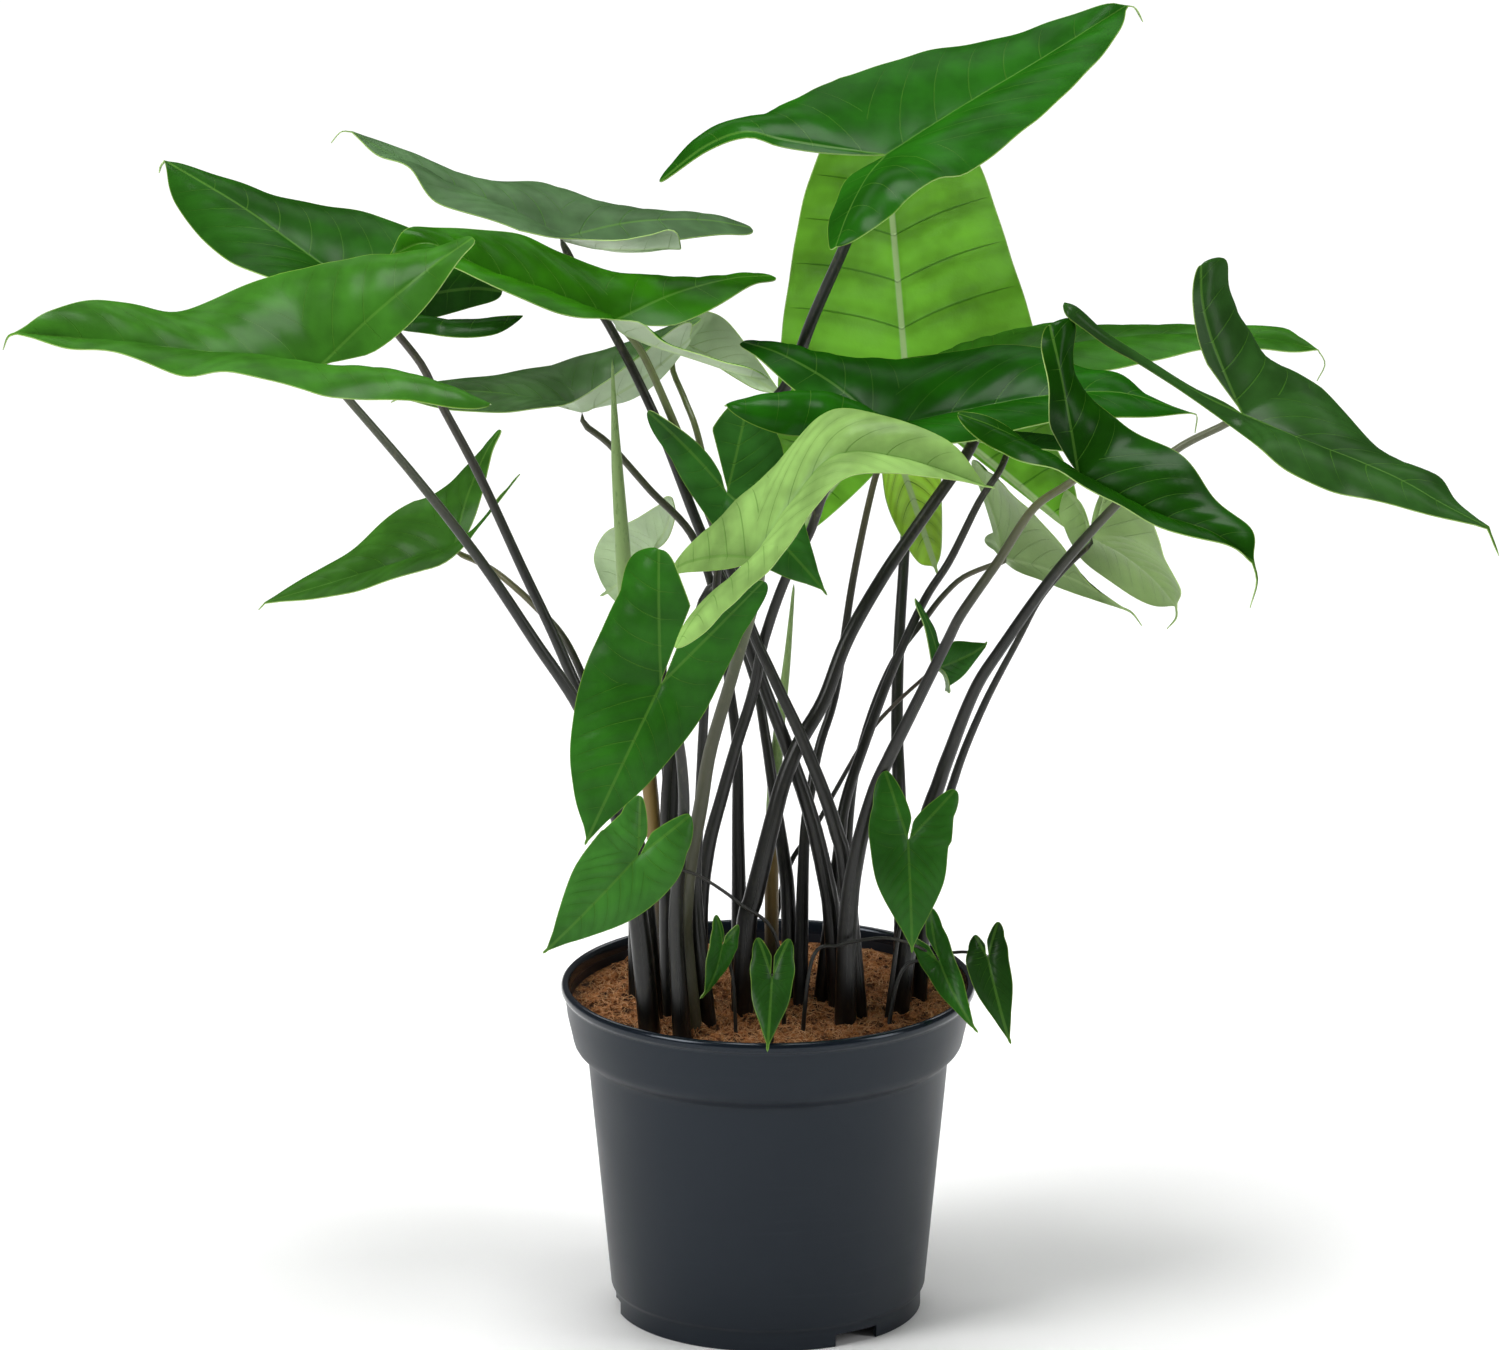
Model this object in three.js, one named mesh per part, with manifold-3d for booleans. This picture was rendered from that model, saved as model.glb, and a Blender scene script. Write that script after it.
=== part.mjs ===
// A black zebrina alocasia in a round nursery pot: arrow-shaped leaves on long dark stalks that
// rise from one clump in the compost. Millimetres, +Z up, origin at the middle of the pot's base.
import * as THREE from 'three';
import { mergeVertices } from 'three/addons/utils/BufferGeometryUtils.js';
import Module from 'manifold-3d';

const wasm = await Module();
wasm.setup();

// Pot
const RIM_DIAMETER = 240;
const POT_HEIGHT = 197;
const POT_WALL = 2.2;
const BASE_RADIUS = 88.8;
const PAD_RADIUS = 52;
const FLOOR_RISE = 6;
const POT_SIDES = 36;
const DRAIN_HOLES = 8;
const DRAIN_RADIUS = 5;
const DRAIN_CIRCLE = 70;
const NOTCHES = 3;
const NOTCH_WIDTH = 29;
const NOTCH_HEIGHT = 7.5;
const NOTCH_TURN = 0.951;
const POT_INSIDE = [
  [113.9, 178], [110.4, 162], [102.4, 153.4], [96.8, 95], [92, 45], [88.9, 15],
  [BASE_RADIUS - POT_WALL, FLOOR_RISE + POT_WALL],
];

// Compost
const COMPOST_TOP = 184;
const COMPOST_GAP = 0.35;
const STALK_HOLE_GAP = 0.35;

// Leaves
const BLADE_THICKNESS = 0.8;
const STALK_GAP = 0.3;
const TIP_HALF_WIDTH = 1.2;
const HALF_WIDTH_SHARE = 0.36;
const STALK_SIDES = 8;
const LOBE_END = 0.6;
const LOBE_ROUNDING = 0.6;
const SINUS_GAP = 0.7;

// A stalk's girth from its sheathed foot to its thin end, as shares of the way between the two.
const STALK_SHAPE = [1, 0.86, 0.48, 0.30, 0.20, 0.11, 0];

// The shape was read as an eye sees it from the front: u to the right and v down in sight units,
// and a depth in millimetres behind the pot's axis. These values turn a reading into a point.
const SIGHT_UNIT = RIM_DIAMETER / 417;
const SIGHT_TILT = THREE.MathUtils.degToRad(16.6);
const SIGHT_DISTANCE = 8000;
const SIGHT_CENTRE = { u: 750, v: 675 };
const EYE_TARGET = new THREE.Vector3(-10.5, 0, 381.4);
const SIGHT = new THREE.Vector3(0, Math.cos(SIGHT_TILT), -Math.sin(SIGHT_TILT));
const SIGHT_RIGHT = new THREE.Vector3(1, 0, 0);
const SIGHT_UP = new THREE.Vector3().crossVectors(SIGHT_RIGHT, SIGHT);
const EYE = EYE_TARGET.clone().addScaledVector(SIGHT, -SIGHT_DISTANCE);

// Every reading is [u, v, depth]; a margin reading without a depth lies where the half-blade has
// its natural width. left and right are the lobe tips, as the leaf is seen from above with its
// tip ahead; far is the side that lies behind the midrib. foot is [x, y, z] in the compost.
const LEAVES = {
  "top": {
    "joint": [886, 155, 0], "tip": [1127, 6, 122], "left": [660, 182, 10], "right": [836, 247, -95],
    "rib": [[960, 108], [1040, 60]], "left_vein": [[830, 147], [780, 139], [745, 132], [705, 147]],
    "left_edge": [[1101, 5], [1021, 33], [945, 48], [892, 62],
      [835, 79], [795, 100], [742, 126], [702, 144]],
    "right_edge": [[1120, 30], [1084, 76], [1030, 125], [975, 169], [935, 180], [900, 205], [865, 226]],
    "far": "left", "curl": [0.05, 0.1], "roll": [0.25, 0.2], "inner": [0.045, 0.2], "wave": 1,
    "tail": [[1135, 8], [1143, 22]],
    "stalk": [[862, 200, 10], [845, 245, 25], [812, 320, 36], [790, 380, 43], [768, 410, 42],
      [762, 440, 36], [732, 569, 26], [706, 600, 14], [686, 690, 1], [670, 800, -12]],
    "foot": [-55.9, -33.4, 160], "thin": 3.0, "thick": 6.5
  },
  "upright": {
    "joint": [908, 400, 160], "tip": [880, 84, 144], "left": [1067, 528, 154],
    "right": [798, 532, 154], "left_edge": [[960, 130], [1003, 232], [1037, 343], [1055, 440]],
    "right_edge": [[830, 130], [801, 212], [782, 334], [778, 450]], "curl": [0.08, 0.08],
    "inner": [0.03, 0.14], "wave": 1, "stalk": [[907, 500, 144], [904, 560, 117], [899, 642, 89],
      [897, 723, 62], [899, 785, 35], [902, 880, 10]], "foot": [78.0, -6.0, 160], "thin": 2.7,
    "thick": 5.4
  },
  "wide": {
    "joint": [885, 428, -50], "tip": [1190, 413, -34], "left": [743, 342, 34],
    "right": [726, 405, -105], "rib": [[960, 412], [1040, 397], [1119, 393]],
    "left_edge": [[1156, 402], [1120, 376], [1080, 366], [1035, 346],
      [960, 351], [890, 360], [830, 355], [780, 349]],
    "right_edge": [[1140, 418], [1060, 420], [979, 440], [900, 445], [810, 437]], "far": "left",
    "curl": [0.1, 0.1], "roll": [0.15, 0.5], "wave": 1, "tail": [[1197, 416], [1195, 433]],
    "stalk": [[868, 440, -45], [850, 455, -37], [825, 491, -30], [810, 532, -25],
      [785, 580, -21], [764, 640, -20], [756, 680, -20], [748, 710, -20],
      [738, 740, -22], [722, 796, -24], [708, 850, -27], [700, 920, -29]], "foot": [-39.0, -28.0, 160],
    "thin": 2.4, "thick": 5.2
  },
  "long": {
    "joint": [1000, 358, 75], "tip": [1318, 350, 95], "left": [905, 376, 125], "right": [860, 375, 55],
    "rib": [[1100, 340], [1200, 336], [1265, 340]],
    "left_edge": [[1300, 338], [1275, 326], [1200, 330], [1121, 330],
      [1060, 326], [1000, 338], [945, 356]],
    "right_edge": [[1290, 352], [1205, 349], [1150, 363], [1100, 371], [1050, 376], [960, 380]],
    "far": "left", "wave": 1, "tail": [[1325, 364], [1317, 381]],
    "stalk": [[985, 410, 57], [968, 452, 41], [925, 515, 26], [884, 575, 12],
      [847, 640, -1], [824, 700, -11], [801, 740, -19], [784, 780, -24],
      [773, 820, -28], [763, 860, -30], [753, 900, -31], [746, 930, -32]], "foot": [-16.0, -30.0, 160],
    "thin": 3.1, "thick": 6.5
  },
  "young": {
    "joint": [755, 558, -162], "tip": [985, 486, -160], "left": [672, 570, -115],
    "right": [676, 648, -215], "rib": [[790, 505], [835, 456], [900, 458]],
    "left_edge": [[947, 440], [868, 412], [820, 417], [771, 469], [712, 525]],
    "right_edge": [[927, 476], [855, 476], [813, 508], [787, 548], [738, 600]], "far": "left",
    "curl": [0.1, 0.1], "inner": [0.12, 0.12], "wave": 1,
    "stalk": [[760, 572, -152], [755, 600, -136], [740, 650, -120], [728, 690, -106], [710, 752, -94],
      [700, 810, -83], [690, 860, -73], [684, 910, -65], [684, 950, -58]], "foot": [-42.0, -54.4, 160],
    "thin": 2.9, "thick": 6.5
  },
  "glossy": {
    "joint": [661, 684, -172], "tip": [588, 838, -182], "left": [763, 581, -178],
    "right": [659, 549, -170], "left_edge": [[645, 786], [698, 723], [730, 660], [755, 605]],
    "right_edge": [[574, 790], [571, 730], [590, 655], [629, 578]], "inner": [0.2, 0.26], "wave": 1,
    "stalk": [[664, 700, -150], [678, 738, -130], [684, 800, -110],
      [680, 860, -91], [676, 930, -73]], "foot": [-48.0, -68.1, 160], "thin": 2.6, "thick": 5.6
  },
  "inner": {
    "joint": [727, 493, -30], "tip": [822, 588, -50], "left": [748, 400, -6], "right": [648, 411, -20],
    "left_edge": [[812, 548], [800, 510], [786, 466], [775, 430]],
    "right_edge": [[780, 575], [730, 545], [689, 490], [662, 440]], "inner": [0.34, 0.1], "wave": 1,
    "stalk": [[722, 520, -30], [715, 600, -36], [705, 700, -41], [700, 800, -47], [696, 900, -52]],
    "foot": [-31.9, -45.2, 160], "thin": 2.0, "thick": 5
  },
  "fore_right": {
    "joint": [1079, 477, -130], "tip": [1253, 562, -180], "left": [1050, 325, -100],
    "right": [958, 414, -150], "rib": [[1150, 512], [1210, 532]],
    "left_edge": [[1252, 530], [1216, 500], [1184, 458], [1121, 424], [1079, 382], [1066, 335]],
    "right_edge": [[1226, 545], [1168, 530], [1116, 505], [1058, 472], [1006, 455]], "far": "left",
    "roll": [0.2, 0.2], "wave": 1, "tail": [[1257, 582], [1250, 608]],
    "stalk": [[1067, 485, -115], [1033, 509, -103], [999, 560, -91], [962, 613, -81],
      [948, 640, -72], [928, 680, -66], [908, 720, -61], [888, 760, -56],
      [874, 792, -52], [858, 850, -50], [848, 920, -47]], "foot": [44.0, -45.1, 160], "thin": 2.2,
    "thick": 6.5
  },
  "far_right": {
    "joint": [1242, 414, -85], "tip": [1488, 528, -150], "left": [1201, 265, -55],
    "right": [1064, 303, -85], "rib": [[1300, 439], [1350, 458], [1400, 480], [1447, 507]],
    "left_vein": [[1224, 372], [1210, 335], [1202, 300]],
    "right_vein": [[1200, 394], [1150, 362], [1105, 333], [1080, 312]],
    "left_edge": [[1456, 500], [1436, 476], [1400, 462], [1360, 430], [1320, 388],
      [1270, 358], [1245, 325], [1226, 298], [1215, 272]],
    "right_edge": [[1460, 522], [1420, 512], [1370, 500], [1330, 492], [1290, 472], [1262, 450],
      [1238, 432, -97], [1195, 401, -92], [1150, 371, -90], [1108, 345, -90], [1078, 318, -90]],
    "far": "left", "roll": [0.2, 0.4], "inner": [0.1, 0.05], "wave": 1, "tail": [[1499, 556]],
    "stalk": [[1224, 425, -77], [1173, 452, -68], [1115, 506, -59], [1066, 560, -51],
      [1034, 601, -45], [1000, 650, -40], [980, 680, -36], [966, 710, -33],
      [950, 752, -30], [940, 780, -28], [920, 850, -25]], "foot": [72.0, -22.0, 160], "thin": 2.1,
    "thick": 6.5
  },
  "fore_left": {
    "joint": [320, 366, -150], "tip": [17, 333, -185], "left": [490, 404, -205],
    "right": [473, 238, -100], "rib": [[222, 354], [98, 341]],
    "left_edge": [[65, 348], [117, 352], [180, 376], [235, 372], [333, 397], [430, 401]],
    "right_edge": [[49, 311], [98, 300], [176, 311], [245, 286], [339, 260], [431, 252]],
    "far": "right", "roll": [0.25, 0.12], "wave": 1, "tail": [[8, 337], [3, 350]],
    "stalk": [[334, 384, -149], [349, 400, -140], [416, 478, -128], [480, 560, -116],
      [534, 640, -104], [583, 715, -92], [613, 800, -80], [636, 900, -68]],
    "foot": [-66.0, -60.0, 160], "thin": 2.2, "thick": 6.5
  },
  "upper_left": {
    "joint": [388, 309, -20], "tip": [165, 161, 80], "left": [523, 316, -40], "right": [502, 291, 40],
    "rib": [[321, 264], [245, 209]], "left_vein": [[440, 324], [490, 318]],
    "left_edge": [[176, 205], [222, 257], [290, 285], [370, 322],
      [420, 333, -52], [460, 334, -50], [498, 327, -46]],
    "right_edge": [[189, 166], [268, 193], [352, 211], [410, 228], [470, 265]], "far": "right",
    "roll": [0.15, 0.3], "inner": [0.04, 0.16], "wave": 1, "tail": [[161, 166], [159, 173]],
    "stalk": [[391, 325, -19], [421, 364, -21], [440, 402, -23], [480, 477, -27], [523, 570, -30],
      [552, 631, -33], [578, 690, -36], [615, 770, -40], [642, 870, -44]], "foot": [-64.1, -44.6, 160],
    "thin": 2.2, "thick": 5.6
  },
  "mid_left": {
    "joint": [614, 321, -20], "tip": [390, 256, -30], "left": [768, 379, -80], "right": [772, 276, 60],
    "rib": [[546, 291], [489, 272], [430, 244]],
    "left_vein": [[622, 331], [646, 342], [700, 360], [740, 373]],
    "left_edge": [[440, 262], [481, 281], [535, 305], [580, 317], [612, 319, -44],
      [640, 322, -52], [662, 342, -58], [700, 355, -68], [742, 369, -82]],
    "right_edge": [[405, 230], [437, 227], [519, 236], [606, 269], [694, 281], [745, 277]],
    "far": "right", "roll": [0.08, 0.12], "inner": [0.02, 0.2], "wave": 1,
    "stalk": [[631, 337, -13], [648, 364, -14], [681, 440, -16], [700, 490, -19],
      [727, 560, -23], [752, 630, -26], [770, 670, -29], [784, 700, -31],
      [800, 734, -32], [822, 788, -34], [836, 830, -34], [846, 876, -35]], "foot": [54.0, -31.5, 160],
    "thin": 2.1, "thick": 5.6
  },
  "high_left": {
    "joint": [560, 238, 75], "tip": [352, 132, 105], "left": [681, 249, 15], "right": [751, 228, 140],
    "rib": [[513, 211], [442, 181], [390, 155]], "left_vein": [[600, 248], [640, 250], [666, 248]],
    "left_edge": [[376, 155], [410, 168], [437, 203], [486, 219],
      [545, 237], [600, 240, 46], [645, 239, 26], [670, 240, 13]],
    "right_edge": [[409, 152], [481, 180], [545, 184], [617, 207], [705, 217]], "far": "right",
    "roll": [0.08, 0.12], "inner": [0.02, 0.2], "wave": 1, "tail": [[341, 132], [331, 143]],
    "stalk": [[571, 260, 56], [590, 295, 38], [611, 329, 22], [635, 374, 9],
      [663, 435, 0], [700, 530, -5], [738, 618, -8], [766, 692, -10],
      [792, 760, -12], [812, 820, -15], [826, 880, -18], [832, 920, -21]], "foot": [42.0, -19.9, 160],
    "thin": 2.3, "thick": 5.6
  },
  "folded": {
    "joint": [582, 412, 44], "tip": [400, 398, 32], "left": [690, 338, 22], "right": [700, 318, 99],
    "left_vein": [[640, 380]],
    "left_edge": [[450, 410], [519, 411], [570, 404], [600, 385, 30], [645, 353, 20], [680, 336, 12]],
    "right_edge": [[430, 382], [508, 374], [585, 356], [640, 338]], "far": "right",
    "inner": [0.1, 0.1], "wave": 1,
    "stalk": [[585, 425, 45], [610, 445, 41], [650, 490, 36], [693, 537, 31], [718, 610, 24],
      [730, 690, 17], [737, 750, 12], [738, 830, 7], [739, 910, 3]], "foot": [-16.5, -8.0, 160],
    "thin": 1.9, "thick": 5
  },
  "back_left": {
    "joint": [684, 344, 132], "tip": [778, 392, 128], "left": [676, 353, 104],
    "right": [694, 314, 108], "left_edge": [[757, 389], [736, 378], [712, 363]],
    "right_edge": [[767, 373], [748, 347], [727, 321], [710, 312]], "inner": [0.04, 0.05], "wave": 1,
    "stalk": [[672, 365, 110], [685, 400, 94], [699, 440, 78], [722, 550, 62],
      [740, 630, 50], [748, 660, 39], [758, 692, 30], [766, 740, 22],
      [772, 780, 15], [778, 820, 9], [784, 860, 4], [788, 900, 0]], "foot": [14.0, -7.6, 160],
    "thin": 1.6, "thick": 5
  },
  "low_left": {
    "joint": [454, 548, 100], "tip": [265, 603, 105], "left": [520, 474, 60], "right": [500, 430, 150],
    "rib": [[400, 563], [330, 584]], "left_vein": [[480, 522]],
    "left_edge": [[330, 597], [400, 577], [448, 561], [484, 521, 80], [507, 491, 68]],
    "right_edge": [[300, 580], [345, 556], [395, 511], [440, 490], [478, 456]], "far": "right",
    "roll": [0.05, 0.12], "inner": [0.02, 0.12], "wave": 1,
    "stalk": [[460, 554, 103], [478, 562, 90], [500, 575, 75], [536, 607, 60],
      [568, 645, 43], [600, 720, 25], [630, 800, 7]], "foot": [-76.0, 2.0, 160], "thin": 1.7,
    "thick": 4.6
  },
  "low_back": {
    "joint": [655, 549, 94], "tip": [607, 592, 154], "left": [672, 498, 48], "right": [688, 607, 58],
    "left_edge": [[599, 577], [594, 556], [606, 532], [632, 521], [655, 507]],
    "right_edge": [[618, 603], [642, 612], [668, 615]], "inner": [0.08, 0.08], "wave": 1,
    "stalk": [[658, 560, 67], [662, 620, 50], [664, 700, 32], [668, 800, 13]],
    "foot": [-44.0, -4.0, 160], "thin": 1.6, "thick": 4.6
  },
  "tiny": {
    "joint": [938, 668, 40], "tip": [985, 645, 70], "left": [915, 600, 8], "right": [950, 690, 20],
    "width": [13, 13], "wave": 1,
    "stalk": [[938, 668, 42], [926, 676, 42], [890, 709, 42], [866, 738, 41],
      [833, 795, 38], [815, 828, 34], [784, 881, 29]], "foot": [-6.0, 22.0, 160], "thin": 1.1,
    "thick": 2.2
  },
  "back_right": {
    "joint": [1004, 557, 68], "tip": [1120, 607, 24], "left": [985, 540, 114], "right": [972, 466, 88],
    "left_edge": [[1098, 601], [1070, 592], [1040, 580], [1012, 568]],
    "right_edge": [[1085, 580], [1050, 530], [1015, 495], [993, 476]], "wave": 1,
    "tail": [[1132, 613], [1142, 626]],
    "stalk": [[1003, 562, 39], [989, 566, 38], [962, 578, 37], [942, 597, 35],
      [928, 615, 32], [891, 666, 28], [862, 744, 23], [848, 830, 17]], "foot": [40.0, 0.0, 160],
    "thin": 1.3, "thick": 4.6
  },
  "right_under": {
    "joint": [1092, 537, 26], "tip": [1176, 606, 38], "left": [1066, 490, 41],
    "right": [1108, 478, -2], "left_edge": [[1150, 605], [1112, 582], [1080, 556], [1064, 525]],
    "right_edge": [[1180, 590], [1168, 565], [1160, 540], [1147, 515], [1126, 494]],
    "inner": [0.08, 0.08], "wave": 1, "tail": [[1176, 618], [1167, 629]],
    "stalk": [[1090, 545, 22], [1066, 568, 18], [1040, 599, 14], [1020, 636, 12],
      [983, 707, 11], [954, 780, 10], [928, 880, 10]], "foot": [86.0, 8.0, 160], "thin": 1.4,
    "thick": 5
  },
  "hanging": {
    "joint": [893, 440, 60], "tip": [935, 566, 84], "left": [868, 415, 32], "right": [950, 405, 37],
    "left_edge": [[918, 562], [898, 530], [886, 500], [880, 460]],
    "right_edge": [[941, 552], [942, 520], [941, 480], [940, 440]], "wave": 0,
    "stalk": [[886, 456, 63], [874, 482, 55], [853, 580, 43], [836, 690, 31],
      [820, 744, 20], [812, 784, 10], [804, 850, -1]], "foot": [18.0, -22.1, 160], "thin": 1.8,
    "thick": 4.4
  },
  "baby_left": {
    "joint": [638, 856, -120], "tip": [549, 948, -130], "left": [690, 815, -110],
    "right": [640, 796, -110], "width": [26, 26], "wave": 0,
    "stalk": [[648, 866, -114], [671, 868, -103], [699, 876, -90],   [739, 903, -77], [777, 941, -62]],
    "foot": [10.0, -48.0, 165], "thin": 0.9, "thick": 1.4
  },
  "baby_right": {
    "joint": [908, 840, -70], "tip": [912, 945, -80], "left": [955, 790, -60],
    "right": [885, 771, -60], "width": [23, 22], "wave": 0,
    "stalk": [[908, 850, -61], [904, 900, -50], [896, 950, -41]], "foot": [66.0, -42.0, 165],
    "thin": 1.1, "thick": 1.8
  },
  "baby_front": {
    "joint": [772, 978, -105], "tip": [768, 1042, -128], "left": [789, 939, -95],
    "right": [758, 938, -95], "width": [12, 12], "wave": 0,
    "stalk": [[772, 976, -97], [772, 988, -90]], "foot": [2.0, -80.0, 165], "thin": 0.9, "thick": 1.3
  },
  "baby_inner": {
    "joint": [722, 945, -80], "tip": [706, 992, -85], "left": [738, 925, -70],
    "right": [716, 915, -80], "width": [10, 10], "wave": 0,
    "stalk": [[726, 948, -74], [730, 965, -70], [734, 990, -68]], "foot": [-18.0, -66.0, 165],
    "thin": 0.9, "thick": 1.3
  },
  "baby_outer": {
    "joint": [988, 958, -60], "tip": [1008, 1036, -75], "left": [998, 922, -50],
    "right": [975, 935, -50], "width": [12, 13], "wave": 0,
    "stalk": [[984, 955, -46], [960, 952, -45], [930, 958, -44], [900, 975, -45]],
    "foot": [66.0, -58.0, 165], "thin": 0.9, "thick": 1.4
  },
  "baby_rim": {
    "joint": [940, 962, -50], "tip": [972, 1025, -80], "left": [931, 908, -40],
    "right": [912, 938, -42], "width": [10, 10], "wave": 0,
    "stalk": [[930, 953, -47], [905, 942, -50], [880, 938, -54], [840, 945, -58], [812, 960, -64]],
    "foot": [18.0, -66.0, 165], "thin": 0.9, "thick": 1.4
  },
  "hidden": {
    "joint": [1010, 445, 48], "tip": [1120, 455, 60], "left": [972, 422, 76], "right": [975, 440, 16],
    "width": [26, 26], "wave": 0,
    "stalk": [[1000, 470, 35], [979, 502, 33], [950, 560, 31], [924, 601, 27],
      [892, 671, 20], [866, 740, 11], [845, 803, 2], [838, 860, -7]], "foot": [28.0, -7.9, 160],
    "thin": 1.9, "thick": 5
  }
};

// Two rolled new leaves that stand up between the stalks.
const SPEARS = {
  "spear_tall": {
    "path": [[612, 358, 2], [616, 450, 4], [622, 540, 6], [628, 620, 6], [640, 720, 2], [652, 810, -4]],
    "foot": [-58, -8, 160], "radii": [0.9, 3.2, 4.4, 4.6, 4.4, 4.0, 3.6, 3.6]
  },
  "spear_short": {
    "path": [[794, 583, 30], [787, 660, 28], [778, 740, 26], [772, 830, 22]],
    "foot": [2, 15, 160], "radii": [0.9, 2.4, 3.6, 3.8, 3.8, 3.8]
  }
};

function seen(u, v, depth) {
  const ray = SIGHT.clone().multiplyScalar(SIGHT_DISTANCE / SIGHT_UNIT);
  ray.addScaledVector(SIGHT_RIGHT, u - SIGHT_CENTRE.u);
  ray.addScaledVector(SIGHT_UP, SIGHT_CENTRE.v - v);
  return EYE.clone().addScaledVector(ray, (depth - EYE.y) / ray.y);
}

const point = (reading) => seen(reading[0], reading[1], reading[2]);

function curveThrough(points) {
  const curve = new THREE.CatmullRomCurve3(points, false, 'catmullrom', 0.5);
  curve.arcLengthDivisions = 12 * points.length;
  return curve;
}

function turned(vector, axis, degrees) {
  return vector.clone().applyAxisAngle(axis, THREE.MathUtils.degToRad(degrees));
}

function across(vector, axis) {
  return vector.clone().addScaledVector(axis, -vector.dot(axis)).normalize();
}

function nearness(p, a, b) {
  const span = new THREE.Vector3().subVectors(b, a);
  const share = THREE.MathUtils.clamp(p.clone().sub(a).dot(span) / span.lengthSq(), 0, 1);
  return { gap: p.distanceTo(a.clone().addScaledVector(span, share)), share };
}

// Readings between two others as places, their depth shared out along the way.
function readPath(from, readings, to) {
  const steps = [from, ...readings, to];
  const run = [0];
  for (let i = 1; i < steps.length; i += 1) {
    run.push(run[i - 1] + Math.hypot(steps[i][0] - steps[i - 1][0], steps[i][1] - steps[i - 1][1]));
  }
  return readings.map(([u, v], i) => (
    seen(u, v, from[2] + (to[2] - from[2]) * run[i + 1] / run[run.length - 1])));
}

// The frame of one leaf: its joint, tip and lobe tips, the midrib's way, and the upper side.
function leafFrame(leaf) {
  const joint = point(leaf.joint);
  const tip = point(leaf.tip);
  const lobes = { left: point(leaf.left), right: point(leaf.right) };
  const ahead = new THREE.Vector3().subVectors(tip, joint).normalize();
  const side = across(new THREE.Vector3().subVectors(lobes.left, lobes.right), ahead);
  const up = new THREE.Vector3().crossVectors(ahead, side);
  return { joint, tip, lobes, ahead, side, up, length: tip.distanceTo(joint) };
}

// Points along the midrib from the tip to the joint.
function midrib(leaf, frame) {
  const { joint, tip, ahead, up, length } = frame;
  if (leaf.rib) {
    const inner = leaf.rib.map((r) => {
      const share = Math.hypot(r[0] - leaf.joint[0], r[1] - leaf.joint[1])
        / Math.hypot(leaf.tip[0] - leaf.joint[0], leaf.tip[1] - leaf.joint[1]);
      return seen(r[0], r[1], THREE.MathUtils.lerp(leaf.joint[2], leaf.tip[2], share));
    });
    return [tip, ...inner.reverse(), joint];
  }
  const lift = (leaf.arch ?? 0.06) * length;
  const raise = (share) => joint.clone().addScaledVector(ahead, share * length).addScaledVector(up, lift);
  return [tip, raise(0.7), raise(0.35), joint];
}

// The depth at which a margin reading lies half a blade's natural width from the midrib.
function naturalDepth(reading, isFar, lobe, frame, rib) {
  const { joint, ahead, length } = frame;
  const gapAt = (depth) => {
    const p = seen(reading[0], reading[1], depth);
    const along = p.clone().sub(joint).dot(ahead);
    if (along > 0) {
      const gap = Math.min(...rib.slice(1).map((q, i) => nearness(p, rib[i], q).gap));
      const share = Math.min(along / length, 1);
      return { gap, wish: HALF_WIDTH_SHARE * length * (1 - share) ** 0.8 * (1 + 0.45 * share) };
    }
    const { gap, share } = nearness(p, joint, lobe);
    return { gap, wish: HALF_WIDTH_SHARE * length * (1 - 0.15 * share) * (1 - share) ** 0.6 };
  };
  let closest = -320;
  for (let depth = -320; depth < 320; depth += 2) {
    if (gapAt(depth).gap < gapAt(closest).gap) closest = depth;
  }
  const step = isFar ? 2 : -2;
  let depth = closest;
  while (Math.abs(depth - closest) < 200) {
    const { gap, wish } = gapAt(depth);
    if (gap >= wish) break;
    depth += step;
  }
  return depth;
}

// Points along one margin from the tip to the lobe's tip.
function margin(leaf, name, frame, rib) {
  const { joint, tip, lobes, ahead, side, length } = frame;
  const lobe = lobes[name];
  const sign = name === 'left' ? 1 : -1;
  const readings = leaf[name + '_edge'];
  if (!readings) {
    const width = (leaf.width ?? [HALF_WIDTH_SHARE * length, HALF_WIDTH_SHARE * length])[sign > 0 ? 0 : 1];
    const fold = (leaf.fold ?? [8, 8])[sign > 0 ? 0 : 1];
    const out = turned(side.clone().multiplyScalar(sign), ahead, sign * fold);
    const back = new THREE.Vector3().subVectors(lobe, joint);
    const beside = across(out, back.clone().normalize());
    return [
      tip,
      joint.clone().addScaledVector(ahead, 0.72 * length).addScaledVector(out, 0.45 * width),
      joint.clone().addScaledVector(ahead, 0.4 * length).addScaledVector(out, 0.86 * width),
      joint.clone().addScaledVector(ahead, 0.08 * length).addScaledVector(out, width),
      joint.clone().addScaledVector(back, 0.45).addScaledVector(beside, 0.78 * width),
      lobe,
    ];
  }
  const own = readings.map((r) => {
    if (r.length === 3) return r[2];
    if (leaf.far) return naturalDepth(r, leaf.far === name, lobe, frame, rib);
    return flatDepth(r, frame);
  });
  const all = [leaf.tip[2], ...own, leaf[name][2]];
  const eased = own.map((d, i) => (leaf.far && readings[i].length === 2
    ? 0.5 * all[i + 1] + 0.25 * (all[i] + all[i + 2]) : d));
  return [tip, ...readings.map((r, i) => seen(r[0], r[1], eased[i])), lobe];
}

// The depth at which a reading lies in the leaf's own plane.
function flatDepth(reading, frame) {
  const near = seen(reading[0], reading[1], 0);
  const way = seen(reading[0], reading[1], 1).sub(near);
  return frame.joint.clone().sub(near).dot(frame.up) / way.dot(frame.up);
}

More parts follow.
